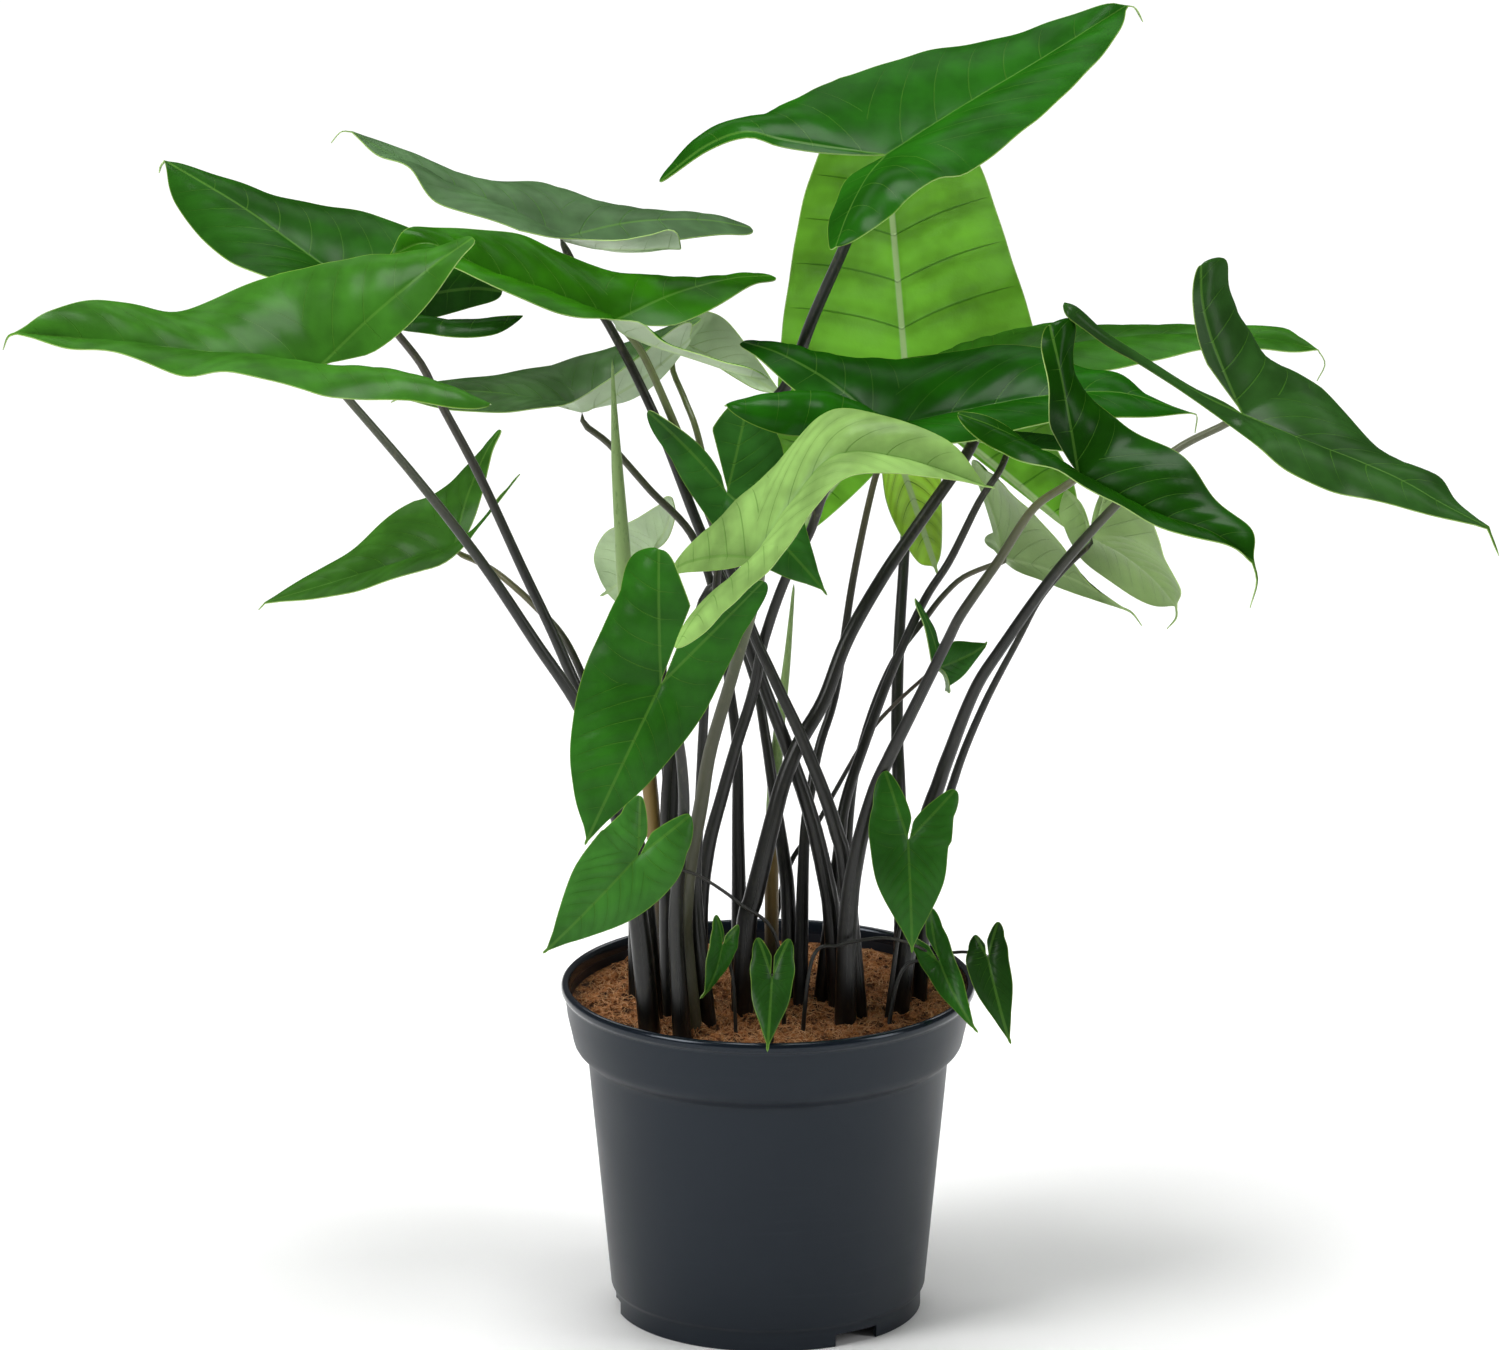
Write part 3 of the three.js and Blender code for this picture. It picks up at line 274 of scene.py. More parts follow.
pot = drawn_up("pot_shell", POT_PROFILE, POT_SIDES)
for index in range(DRAIN_HOLES):
    angle = (index + 0.5) * 2 * math.pi / DRAIN_HOLES
    place = (DRAIN_CIRCLE * math.cos(angle), DRAIN_CIRCLE * math.sin(angle), FLOOR_RISE)
    pick()
    bpy.ops.mesh.primitive_cylinder_add(vertices=DRAIN_SIDES, radius=DRAIN_RADIUS, depth=DRAIN_DEPTH,
                                        location=place)
    cut_with(pot, bpy.context.object)
for index in range(NOTCHES):
    angle = index * 2 * math.pi / NOTCHES - NOTCH_TURN
    place = (NOTCH_CIRCLE * math.cos(angle), NOTCH_CIRCLE * math.sin(angle), 0)
    pick()
    bpy.ops.mesh.primitive_cube_add(size=1, location=place, rotation=(0, 0, angle))
    notch = bpy.context.object
    notch.scale = (NOTCH_DEPTH, NOTCH_WIDTH, 2 * NOTCH_HEIGHT)
    bpy.ops.object.transform_apply(location=False, rotation=True, scale=True)
    cut_with(pot, notch)
smooth_by_angle(pot, POT_CREASE)

pot_plastic, wires, shader = new_material(
    "pot_plastic", Specular_IOR_Level=0.33, Specular_Tint=(0.82, 0.90, 1.0, 1))
place = wires.place()
cloud = wires.noise(place, 9.0, 4.0)
rubbed = wires.noise(wires.squashed(place, (1.0, 1.0, 26.0)), 14.0, 5.0, 0.62)
dust = wires.times(wires.ranged(rubbed, 0.52, 0.78), wires.ranged(cloud, 0.42, 0.68))
matt = wires.ranged(cloud, 0.3, 0.7, *POT_ROUGHNESS, "LINEAR")
wires.feed(shader, {
    "Base Color": wires.mixed(dust, POT_BLACK, POT_DUSTY),
    "Roughness": wires.ranged(wires.split(place)[2], *LIP_HEIGHTS, matt, LIP_ROUGHNESS)})
wires.relief(shader, wires.noise(place, 1500.0, 2.0), 0.10, 0.0003)
pot.data.materials.clear()
pot.data.materials.append(pot_plastic)
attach(pot, "root")
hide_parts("pot")

# The compost: coarse brown coir and bark, firmed by hand into a low uneven mound round the stalks,
# with loose fibres and crumbs lying on it.
COMPOST_SIDES = 320
COMPOST_RINGS = 96
COMPOST_TOP = 0.186
COMPOST_EDGE = 0.1136
COMPOST_SIDE = [(0.010, 0.0026), (0.0515, 0.0026), (0.0557, 0.0086), (0.0862, 0.0087), (0.0885, 0.0154),
                (0.0916, 0.045), (0.0964, 0.095), (0.1020, 0.1538), (0.1100, 0.1624), (0.1135, 0.1784)]
COMPOST_CREASE = 50
HEART_RADIUS = 0.0008               # of the innermost ring
FLAT_TOP = COMPOST_TOP - 0.002      # the height of the top's rings before they are lumped
TOP_FROM = COMPOST_TOP - 0.003      # what stands above this is the top
LEVEL = COMPOST_TOP - 0.0015        # of its top at the rim
EDGE_BLEND = 0.010                  # the lumps fade out over this width at the rim
MOUND_RADIUS = 0.09
MOUND_RISE = 0.0035
# Painted shade: the coir is painted darkest at this depth in the dips of its crumbly relief.
PIT_SHADE_DEPTH = 0.0016
FIBRES = 4200
FIBRE_REACH = 0.1085
FIBRE_RADIUS = 0.00016
FIBRE_STEPS = 4
FIBRE_LENGTHS = (0.005, 0.017)
FIBRE_CURL = 1.1
FIBRE_LIFT = 0.0011
FIBRE_GIRTHS = (0.6, 1.7)           # shares of the radius
CRUMBS = 3000
CRUMB_SIZES = (0.0004, 0.0016)
# The coir's darkest brown: its own dark tone in the patches, and also the painted shade in the dips of its
# relief.
COIR_DARK_AND_SHADE = (0.030, 0.0110, 0.0045, 1)
COIR_BROWN = (0.420, 0.165, 0.056, 1)
COIR_TAN = (0.62, 0.35, 0.17, 1)


def crumble(x, y):
    """The crumbly part of the compost's relief, a few millimetres across."""
    coarse = np.sin(420 * x + 2.6 * np.sin(330 * y + 0.7)) * np.sin(390 * y + 2.9 * np.sin(350 * x + 1.9))
    fine = np.sin(1150 * x + 3.1 * np.sin(870 * y)) * np.sin(1240 * y + 2.7 * np.sin(930 * x + 0.4))
    return 0.0013 * coarse + 0.0007 * fine


def ground(x, y):
    """Height of the compost's top at a place: a low mound with lumps of several sizes."""
    r = np.hypot(x, y)
    lump = 0.0016 * np.sin(110 * x + 1) * np.cos(130 * y) + 0.0012 * np.sin(50 * x - 90 * y)
    small = 0.0011 * np.sin(310 * x + 2.2 * np.sin(170 * y)) * np.cos(290 * y + 1.7 * np.sin(210 * x))
    grit = 0.0007 * np.sin(640 * x + 3 * np.sin(520 * y + 1)) * np.cos(700 * y + 2 * np.sin(480 * x))
    edge = np.clip((COMPOST_EDGE - r) / EDGE_BLEND, 0, 1)
    mound = MOUND_RISE * np.clip(1 - r / MOUND_RADIUS, 0, 1) ** 0.7
    return LEVEL + edge * (lump + small + grit + crumble(x, y)) + mound


def spots_of(body):
    """The places of a body's vertices, one in each row."""
    spots = np.empty(len(body.data.vertices) * 3)
    body.data.vertices.foreach_get("co", spots)
    return spots.reshape(-1, 3)


def move_to(body, spots):
    body.data.vertices.foreach_set("co", spots.ravel())
    body.data.update()


def keep_values(body, label, values):
    """Keeps a value for each vertex as an attribute."""
    layer = body.data.attributes.new(label, "FLOAT", "POINT")
    layer.data.foreach_set("value", values.astype(np.float32))


inward = [(COMPOST_EDGE * (1 - index / COMPOST_RINGS) + HEART_RADIUS, FLAT_TOP)
          for index in range(COMPOST_RINGS)]
compost = drawn_up("compost_mound", COMPOST_SIDE + inward, COMPOST_SIDES)
spots = spots_of(compost)
top = spots[:, 2] > TOP_FROM
spots[top, 2] = ground(spots[top, 0], spots[top, 1])
move_to(compost, spots)
# Painted shade: how deep each place lies in a dip of the crumbly relief, kept so the coir can be painted
# darker there.
keep_values(compost, "pit_shade", np.clip(-crumble(spots[:, 0], spots[:, 1]) / PIT_SHADE_DEPTH, 0, 1))
smooth_by_angle(compost, COMPOST_CREASE)

draw = np.random.default_rng(7)
pick()
bpy.ops.curve.primitive_nurbs_path_add()
fibres = bpy.context.object
fibres.name = "coir_fibres"
fibres.data.splines.clear()
fibres.data.bevel_depth = FIBRE_RADIUS
fibres.data.bevel_resolution = 0
for _ in range(FIBRES):
    r = FIBRE_REACH * math.sqrt(draw.random())
    angle = draw.random() * 2 * math.pi
    x, y = r * math.cos(angle), r * math.sin(angle)
    way = draw.random() * 2 * math.pi
    curl = draw.normal(0, FIBRE_CURL)
    length = draw.uniform(*FIBRE_LENGTHS)
    lift = abs(draw.normal(0, FIBRE_LIFT))
    strand = fibres.data.splines.new("POLY")
    strand.points.add(FIBRE_STEPS)
    thick = draw.uniform(*FIBRE_GIRTHS)
    for step in range(FIBRE_STEPS + 1):
        share = step / FIBRE_STEPS
        rise = lift * math.sin(math.pi * min(1.0, 1.25 * share)) + 0.0002
        strand.points[step].co = (x, y, float(ground(x, y)) + rise, 1)
        strand.points[step].radius = thick * (1 - 0.5 * share)
        way += curl / FIBRE_STEPS
        x += length / FIBRE_STEPS * math.cos(way)
        y += length / FIBRE_STEPS * math.sin(way)
        reach = math.hypot(x, y)
        if reach > FIBRE_REACH:
            x, y = x * FIBRE_REACH / reach, y * FIBRE_REACH / reach
pick(fibres)
bpy.ops.object.convert(target="MESH")
bpy.ops.object.transform_apply(location=True, rotation=True, scale=True)

pick()
bpy.ops.mesh.primitive_ico_sphere_add(subdivisions=1, radius=1)
crumbs = bpy.context.object
crumbs.name = "compost_crumbs"
form = spots_of(crumbs)
cells = np.array([face.vertices for face in crumbs.data.polygons])
places, faces = [], []
for index in range(CRUMBS):
    r = FIBRE_REACH * math.sqrt(draw.random())
    angle = draw.random() * 2 * math.pi
    size = CRUMB_SIZES[0] + CRUMB_SIZES[1] * draw.random() ** 3
    stretch = draw.uniform(0.5, 1.6, 3) * size * (1, 1, 0.7)
    turn = draw.random() * math.pi
    lump = form * (1 + draw.uniform(-0.3, 0.3, (len(form), 1))) * stretch
    x = lump[:, 0] * math.cos(turn) - lump[:, 1] * math.sin(turn) + r * math.cos(angle)
    y = lump[:, 0] * math.sin(turn) + lump[:, 1] * math.cos(turn) + r * math.sin(angle)
    z = lump[:, 2] + ground(r * math.cos(angle), r * math.sin(angle)) + 0.2 * size
    places.append(np.column_stack([x, y, z]))
    faces.append(cells + index * len(form))
crumbs.data.clear_geometry()
crumbs.data.from_pydata(np.vstack(places).tolist(), [], np.vstack(faces).tolist())
crumbs.data.update()

coir, wires, shader = new_material("coir", Roughness=0.95, Specular_IOR_Level=0.2)
patch = wires.noise(wires.place(), 150.0, 6.0, 0.72)
speck = wires.noise(wires.place(), 700.0, 3.0, 0.7)
brown = wires.mixed(wires.ranged(patch, 0.38, 0.60), COIR_DARK_AND_SHADE, COIR_BROWN)
flecked = wires.mixed(wires.ranged(speck, 0.52, 0.72), brown, COIR_TAN)
# Painted shade: the coir is painted darker in the dips of its crumbly relief, up to 0.7 of the way to its
# darkest brown.
pit_shade_share = wires.node("Attribute", attribute_name="pit_shade").outputs["Fac"]
wires.feed(shader, {"Base Color": wires.mixed(wires.times(pit_shade_share, 0.7), flecked, COIR_DARK_AND_SHADE)})
wires.relief(shader, wires.maths("ADD", patch, wires.times(speck, 0.6)), 1.0, 0.0040)

coir_strand, wires, shader = new_material("coir_strand", Roughness=0.8, Specular_IOR_Level=0.3)
shade = wires.noise(wires.place(), 130.0, 4.0, 0.7)
wires.feed(shader, {"Base Color": wires.mixed(wires.ranged(shade, 0.34, 0.66), COIR_BROWN, COIR_TAN)})
wires.relief(shader, wires.noise(wires.place(), 2600.0), 0.4, 0.0002)
for piece, skin in ((compost, coir), (fibres, coir_strand), (crumbs, coir)):
    piece.data.materials.clear()
    piece.data.materials.append(skin)
    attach(piece, "root")
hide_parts("compost")

# The leaf blades: arrow-shaped, thin and leathery, dark glossy green above and pale below, with a
# midrib and two lobe veins that stand out on the underside, finer veins swept towards the tips, and
# a pale margin. Each is held by its stalk where the lobes meet the midrib, just under the blade.

# Readings are [u, v, depth] as the eye sees them: units of sight, and millimetres behind the pot's
# axis. A margin reading without a depth lies where the half-blade has its natural width.
LEAVES = {
    "top": dict(
        joint=[886, 155, 0], tip=[1127, 6, 122], left=[660, 182, 10], right=[836, 247, -95],
        rib=[[960, 108], [1040, 60]], left_vein=[[830, 147], [780, 139], [745, 132], [705, 147]],
        left_edge=[[1101, 5], [1021, 33], [945, 48], [892, 62], [835, 79], [795, 100], [742, 126],
            [702, 144]],
        right_edge=[[1120, 30], [1084, 76], [1030, 125], [975, 169], [935, 180], [900, 205], [865, 226]],
        far="left", curl=[0.05, 0.1], roll=[0.25, 0.2], inner=[0.045, 0.2], tail=[[1135, 8], [1143, 22]],
        stalk=[[862, 200, 10], [845, 245, 25], [812, 320, 36], [790, 380, 43], [768, 410, 42],
            [762, 440, 36], [732, 569, 26], [706, 600, 14], [686, 690, 1], [670, 800, -12]],
        foot=[-55.9, -33.4, 160], thin=3.0, thick=6.5),
    "upright": dict(
        joint=[908, 400, 160], tip=[880, 84, 144], left=[1067, 528, 154], right=[798, 532, 154],
        left_edge=[[960, 130], [1003, 232], [1037, 343], [1055, 440]],
        right_edge=[[830, 130], [801, 212], [782, 334], [778, 450]],
        curl=[0.08, 0.08], inner=[0.03, 0.14],
        stalk=[[907, 500, 144], [904, 560, 117], [899, 642, 89], [897, 723, 62], [899, 785, 35],
            [902, 880, 10]],
        foot=[78.0, -6.0, 160], thin=2.7, thick=5.4),
    "wide": dict(
        joint=[885, 428, -50], tip=[1190, 413, -34], left=[743, 342, 34], right=[726, 405, -105],
        rib=[[960, 412], [1040, 397], [1119, 393]],
        left_edge=[[1156, 402], [1120, 376], [1080, 366], [1035, 346], [960, 351], [890, 360], [830, 355],
            [780, 349]],
        right_edge=[[1140, 418], [1060, 420], [979, 440], [900, 445], [810, 437]],
        far="left", curl=[0.1, 0.1], roll=[0.15, 0.5], tail=[[1197, 416], [1195, 433]],
        stalk=[[868, 440, -45], [850, 455, -37], [825, 491, -30], [810, 532, -25], [785, 580, -21],
            [764, 640, -20], [756, 680, -20], [748, 710, -20], [738, 740, -22], [722, 796, -24],
            [708, 850, -27], [700, 920, -29]],
        foot=[-39.0, -28.0, 160], thin=2.4, thick=5.2),
    "long": dict(
        joint=[1000, 358, 75], tip=[1318, 350, 95], left=[905, 376, 125], right=[860, 375, 55],
        rib=[[1100, 340], [1200, 336], [1265, 340]],
        left_edge=[[1300, 338], [1275, 326], [1200, 330], [1121, 330], [1060, 326], [1000, 338],
            [945, 356]],
        right_edge=[[1290, 352], [1205, 349], [1150, 363], [1100, 371], [1050, 376], [960, 380]],
        far="left", tail=[[1325, 364], [1317, 381]],
        stalk=[[985, 410, 57], [968, 452, 41], [925, 515, 26], [884, 575, 12], [847, 640, -1],
            [824, 700, -11], [801, 740, -19], [784, 780, -24], [773, 820, -28], [763, 860, -30],
            [753, 900, -31], [746, 930, -32]],
        foot=[-16.0, -30.0, 160], thin=3.1, thick=6.5),
    "young": dict(
        joint=[755, 558, -162], tip=[985, 486, -160], left=[672, 570, -115], right=[676, 648, -215],
        rib=[[790, 505], [835, 456], [900, 458]],
        left_edge=[[947, 440], [868, 412], [820, 417], [771, 469], [712, 525]],
        right_edge=[[927, 476], [855, 476], [813, 508], [787, 548], [738, 600]],
        far="left", curl=[0.1, 0.1], inner=[0.12, 0.12],
        stalk=[[760, 572, -152], [755, 600, -136], [740, 650, -120], [728, 690, -106], [710, 752, -94],
            [700, 810, -83], [690, 860, -73], [684, 910, -65], [684, 950, -58]],
        foot=[-42.0, -54.4, 160], thin=2.9, thick=6.5),
    "glossy": dict(
        joint=[661, 684, -172], tip=[588, 838, -182], left=[763, 581, -178], right=[659, 549, -170],
        left_edge=[[645, 786], [698, 723], [730, 660], [755, 605]],
        right_edge=[[574, 790], [571, 730], [590, 655], [629, 578]],
        inner=[0.2, 0.26],
        stalk=[[664, 700, -150], [678, 738, -130], [684, 800, -110], [680, 860, -91], [676, 930, -73]],
        foot=[-48.0, -68.1, 160], thin=2.6, thick=5.6),
    "inner": dict(
        joint=[727, 493, -30], tip=[822, 588, -50], left=[748, 400, -6], right=[648, 411, -20],
        left_edge=[[812, 548], [800, 510], [786, 466], [775, 430]],
        right_edge=[[780, 575], [730, 545], [689, 490], [662, 440]],
        inner=[0.34, 0.1],
        stalk=[[722, 520, -30], [715, 600, -36], [705, 700, -41], [700, 800, -47], [696, 900, -52]],
        foot=[-31.9, -45.2, 160], thin=2.0, thick=5),
    "fore_right": dict(
        joint=[1079, 477, -130], tip=[1253, 562, -180], left=[1050, 325, -100], right=[958, 414, -150],
        rib=[[1150, 512], [1210, 532]],
        left_edge=[[1252, 530], [1216, 500], [1184, 458], [1121, 424], [1079, 382], [1066, 335]],
        right_edge=[[1226, 545], [1168, 530], [1116, 505], [1058, 472], [1006, 455]],
        far="left", roll=[0.2, 0.2], tail=[[1257, 582], [1250, 608]],
        stalk=[[1067, 485, -115], [1033, 509, -103], [999, 560, -91], [962, 613, -81], [948, 640, -72],
            [928, 680, -66], [908, 720, -61], [888, 760, -56], [874, 792, -52], [858, 850, -50],
            [848, 920, -47]],
        foot=[44.0, -45.1, 160], thin=2.2, thick=6.5),
    "far_right": dict(
        joint=[1242, 414, -85], tip=[1488, 528, -150], left=[1201, 265, -55], right=[1064, 303, -85],
        rib=[[1300, 439], [1350, 458], [1400, 480], [1447, 507]], left_vein=[[1224, 372], [1210, 335],
            [1202, 300]], right_vein=[[1200, 394], [1150, 362], [1105, 333], [1080, 312]],
        left_edge=[[1456, 500], [1436, 476], [1400, 462], [1360, 430], [1320, 388], [1270, 358],
            [1245, 325], [1226, 298], [1215, 272]],
        right_edge=[[1460, 522], [1420, 512], [1370, 500], [1330, 492], [1290, 472], [1262, 450],
            [1238, 432, -97], [1195, 401, -92], [1150, 371, -90], [1108, 345, -90], [1078, 318, -90]],
        far="left", roll=[0.2, 0.4], inner=[0.1, 0.05], tail=[[1499, 556]],
        stalk=[[1224, 425, -77], [1173, 452, -68], [1115, 506, -59], [1066, 560, -51], [1034, 601, -45],
            [1000, 650, -40], [980, 680, -36], [966, 710, -33], [950, 752, -30], [940, 780, -28],
            [920, 850, -25]],
        foot=[72.0, -22.0, 160], thin=2.1, thick=6.5),
    "fore_left": dict(
        joint=[320, 366, -150], tip=[17, 333, -185], left=[490, 404, -205], right=[473, 238, -100],
        rib=[[222, 354], [98, 341]],
        left_edge=[[65, 348], [117, 352], [180, 376], [235, 372], [333, 397], [430, 401]],
        right_edge=[[49, 311], [98, 300], [176, 311], [245, 286], [339, 260], [431, 252]],
        far="right", roll=[0.25, 0.12], tail=[[8, 337], [3, 350]],
        stalk=[[334, 384, -149], [349, 400, -140], [416, 478, -128], [480, 560, -116], [534, 640, -104],
            [583, 715, -92], [613, 800, -80], [636, 900, -68]],
        foot=[-66.0, -60.0, 160], thin=2.2, thick=6.5),
    "upper_left": dict(
        joint=[388, 309, -20], tip=[165, 161, 80], left=[523, 316, -40], right=[502, 291, 40],
        rib=[[321, 264], [245, 209]], left_vein=[[440, 324], [490, 318]],
        left_edge=[[176, 205], [222, 257], [290, 285], [370, 322], [420, 333, -52], [460, 334, -50],
            [498, 327, -46]],
        right_edge=[[189, 166], [268, 193], [352, 211], [410, 228], [470, 265]],
        far="right", roll=[0.15, 0.3], inner=[0.04, 0.16], tail=[[161, 166], [159, 173]],
        stalk=[[391, 325, -19], [421, 364, -21], [440, 402, -23], [480, 477, -27], [523, 570, -30],
            [552, 631, -33], [578, 690, -36], [615, 770, -40], [642, 870, -44]],
        foot=[-64.1, -44.6, 160], thin=2.2, thick=5.6),
    "mid_left": dict(
        joint=[614, 321, -20], tip=[390, 256, -30], left=[768, 379, -80], right=[772, 276, 60],
        rib=[[546, 291], [489, 272], [430, 244]], left_vein=[[622, 331], [646, 342], [700, 360],
            [740, 373]],
        left_edge=[[440, 262], [481, 281], [535, 305], [580, 317], [612, 319, -44], [640, 322, -52],
            [662, 342, -58], [700, 355, -68], [742, 369, -82]],
        right_edge=[[405, 230], [437, 227], [519, 236], [606, 269], [694, 281], [745, 277]],
        far="right", roll=[0.08, 0.12], inner=[0.02, 0.2],
        stalk=[[631, 337, -13], [648, 364, -14], [681, 440, -16], [700, 490, -19], [727, 560, -23],
            [752, 630, -26], [770, 670, -29], [784, 700, -31], [800, 734, -32], [822, 788, -34],
            [836, 830, -34], [846, 876, -35]],
        foot=[54.0, -31.5, 160], thin=2.1, thick=5.6),
    "high_left": dict(
        joint=[560, 238, 75], tip=[352, 132, 105], left=[681, 249, 15], right=[751, 228, 140],
        rib=[[513, 211], [442, 181], [390, 155]], left_vein=[[600, 248], [640, 250], [666, 248]],
        left_edge=[[376, 155], [410, 168], [437, 203], [486, 219], [545, 237], [600, 240, 46],
            [645, 239, 26], [670, 240, 13]],
        right_edge=[[409, 152], [481, 180], [545, 184], [617, 207], [705, 217]],
        far="right", roll=[0.08, 0.12], inner=[0.02, 0.2], tail=[[341, 132], [331, 143]],
        stalk=[[571, 260, 56], [590, 295, 38], [611, 329, 22], [635, 374, 9], [663, 435, 0],
            [700, 530, -5], [738, 618, -8], [766, 692, -10], [792, 760, -12], [812, 820, -15],
            [826, 880, -18], [832, 920, -21]],
        foot=[42.0, -19.9, 160], thin=2.3, thick=5.6),
    "folded": dict(
        joint=[582, 412, 44], tip=[400, 398, 32], left=[690, 338, 22], right=[700, 318, 99],
        left_vein=[[640, 380]],
        left_edge=[[450, 410], [519, 411], [570, 404], [600, 385, 30], [645, 353, 20], [680, 336, 12]],
        right_edge=[[430, 382], [508, 374], [585, 356], [640, 338]],
        far="right", inner=[0.1, 0.1],
        stalk=[[585, 425, 45], [610, 445, 41], [650, 490, 36], [693, 537, 31], [718, 610, 24],
            [730, 690, 17], [737, 750, 12], [738, 830, 7], [739, 910, 3]],
        foot=[-16.5, -8.0, 160], thin=1.9, thick=5),
    "back_left": dict(
        joint=[684, 344, 132], tip=[778, 392, 128], left=[676, 353, 104], right=[694, 314, 108],
        left_edge=[[757, 389], [736, 378], [712, 363]],
        right_edge=[[767, 373], [748, 347], [727, 321], [710, 312]],
        inner=[0.04, 0.05],
        stalk=[[672, 365, 110], [685, 400, 94], [699, 440, 78], [722, 550, 62], [740, 630, 50],
            [748, 660, 39], [758, 692, 30], [766, 740, 22], [772, 780, 15], [778, 820, 9], [784, 860, 4],
            [788, 900, 0]],
        foot=[14.0, -7.6, 160], thin=1.6, thick=5),
    "low_left": dict(
        joint=[454, 548, 100], tip=[265, 603, 105], left=[520, 474, 60], right=[500, 430, 150],
        rib=[[400, 563], [330, 584]], left_vein=[[480, 522]],
        left_edge=[[330, 597], [400, 577], [448, 561], [484, 521, 80], [507, 491, 68]],
        right_edge=[[300, 580], [345, 556], [395, 511], [440, 490], [478, 456]],
        far="right", roll=[0.05, 0.12], inner=[0.02, 0.12],
        stalk=[[460, 554, 103], [478, 562, 90], [500, 575, 75], [536, 607, 60], [568, 645, 43],
            [600, 720, 25], [630, 800, 7]],
        foot=[-76.0, 2.0, 160], thin=1.7, thick=4.6),
    "low_back": dict(
        joint=[655, 549, 94], tip=[607, 592, 154], left=[672, 498, 48], right=[688, 607, 58],
        left_edge=[[599, 577], [594, 556], [606, 532], [632, 521], [655, 507]],
        right_edge=[[618, 603], [642, 612], [668, 615]],
        inner=[0.08, 0.08],
        stalk=[[658, 560, 67], [662, 620, 50], [664, 700, 32], [668, 800, 13]],
        foot=[-44.0, -4.0, 160], thin=1.6, thick=4.6),
    "tiny": dict(
        joint=[938, 668, 40], tip=[985, 645, 70], left=[915, 600, 8], right=[950, 690, 20], width=[13, 13],
        stalk=[[938, 668, 42], [926, 676, 42], [890, 709, 42], [866, 738, 41], [833, 795, 38],
            [815, 828, 34], [784, 881, 29]],
        foot=[-6.0, 22.0, 160], thin=1.1, thick=2.2),
    "back_right": dict(
        joint=[1004, 557, 68], tip=[1120, 607, 24], left=[985, 540, 114], right=[972, 466, 88],
        left_edge=[[1098, 601], [1070, 592], [1040, 580], [1012, 568]],
        right_edge=[[1085, 580], [1050, 530], [1015, 495], [993, 476]],
        tail=[[1132, 613], [1142, 626]],
        stalk=[[1003, 562, 39], [989, 566, 38], [962, 578, 37], [942, 597, 35], [928, 615, 32],
            [891, 666, 28], [862, 744, 23], [848, 830, 17]],
        foot=[40.0, 0.0, 160], thin=1.3, thick=4.6),
    "right_under": dict(
        joint=[1092, 537, 26], tip=[1176, 606, 38], left=[1066, 490, 41], right=[1108, 478, -2],
        left_edge=[[1150, 605], [1112, 582], [1080, 556], [1064, 525]],
        right_edge=[[1180, 590], [1168, 565], [1160, 540], [1147, 515], [1126, 494]],
        inner=[0.08, 0.08], tail=[[1176, 618], [1167, 629]],
        stalk=[[1090, 545, 22], [1066, 568, 18], [1040, 599, 14], [1020, 636, 12], [983, 707, 11],
            [954, 780, 10], [928, 880, 10]],
        foot=[86.0, 8.0, 160], thin=1.4, thick=5),
    "hanging": dict(
        joint=[893, 440, 60], tip=[935, 566, 84], left=[868, 415, 32], right=[950, 405, 37],
        left_edge=[[918, 562], [898, 530], [886, 500], [880, 460]],
        right_edge=[[941, 552], [942, 520], [941, 480], [940, 440]],
        wave=0,
        stalk=[[886, 456, 63], [874, 482, 55], [853, 580, 43], [836, 690, 31], [820, 744, 20],
            [812, 784, 10], [804, 850, -1]],
        foot=[18.0, -22.1, 160], thin=1.8, thick=4.4),
    "baby_left": dict(
        joint=[638, 856, -120], tip=[549, 948, -130], left=[690, 815, -110], right=[640, 796, -110],
        width=[26, 26], wave=0,
        stalk=[[648, 866, -114], [671, 868, -103], [699, 876, -90], [739, 903, -77], [777, 941, -62]],
        foot=[10.0, -48.0, 165], thin=0.9, thick=1.4),
    "baby_right": dict(
        joint=[908, 840, -70], tip=[912, 945, -80], left=[955, 790, -60], right=[885, 771, -60],
        width=[23, 22], wave=0,
        stalk=[[908, 850, -61], [904, 900, -50], [896, 950, -41]],
        foot=[66.0, -42.0, 165], thin=1.1, thick=1.8),
    "baby_front": dict(
        joint=[772, 978, -105], tip=[768, 1042, -128], left=[789, 939, -95], right=[758, 938, -95],
        width=[12, 12], wave=0,
        stalk=[[772, 976, -97], [772, 988, -90]],
        foot=[2.0, -80.0, 165], thin=0.9, thick=1.3),
    "baby_inner": dict(
        joint=[722, 945, -80], tip=[706, 992, -85], left=[738, 925, -70], right=[716, 915, -80],
        width=[10, 10], wave=0,
        stalk=[[726, 948, -74], [730, 965, -70], [734, 990, -68]],
        foot=[-18.0, -66.0, 165], thin=0.9, thick=1.3),
    "baby_outer": dict(
        joint=[988, 958, -60], tip=[1008, 1036, -75], left=[998, 922, -50], right=[975, 935, -50],
        width=[12, 13], wave=0,
        stalk=[[984, 955, -46], [960, 952, -45], [930, 958, -44], [900, 975, -45]],
        foot=[66.0, -58.0, 165], thin=0.9, thick=1.4),
    "baby_rim": dict(
        joint=[940, 962, -50], tip=[972, 1025, -80], left=[931, 908, -40], right=[912, 938, -42],
        width=[10, 10], wave=0,
        stalk=[[930, 953, -47], [905, 942, -50], [880, 938, -54], [840, 945, -58], [812, 960, -64]],
        foot=[18.0, -66.0, 165], thin=0.9, thick=1.4),
    "hidden": dict(
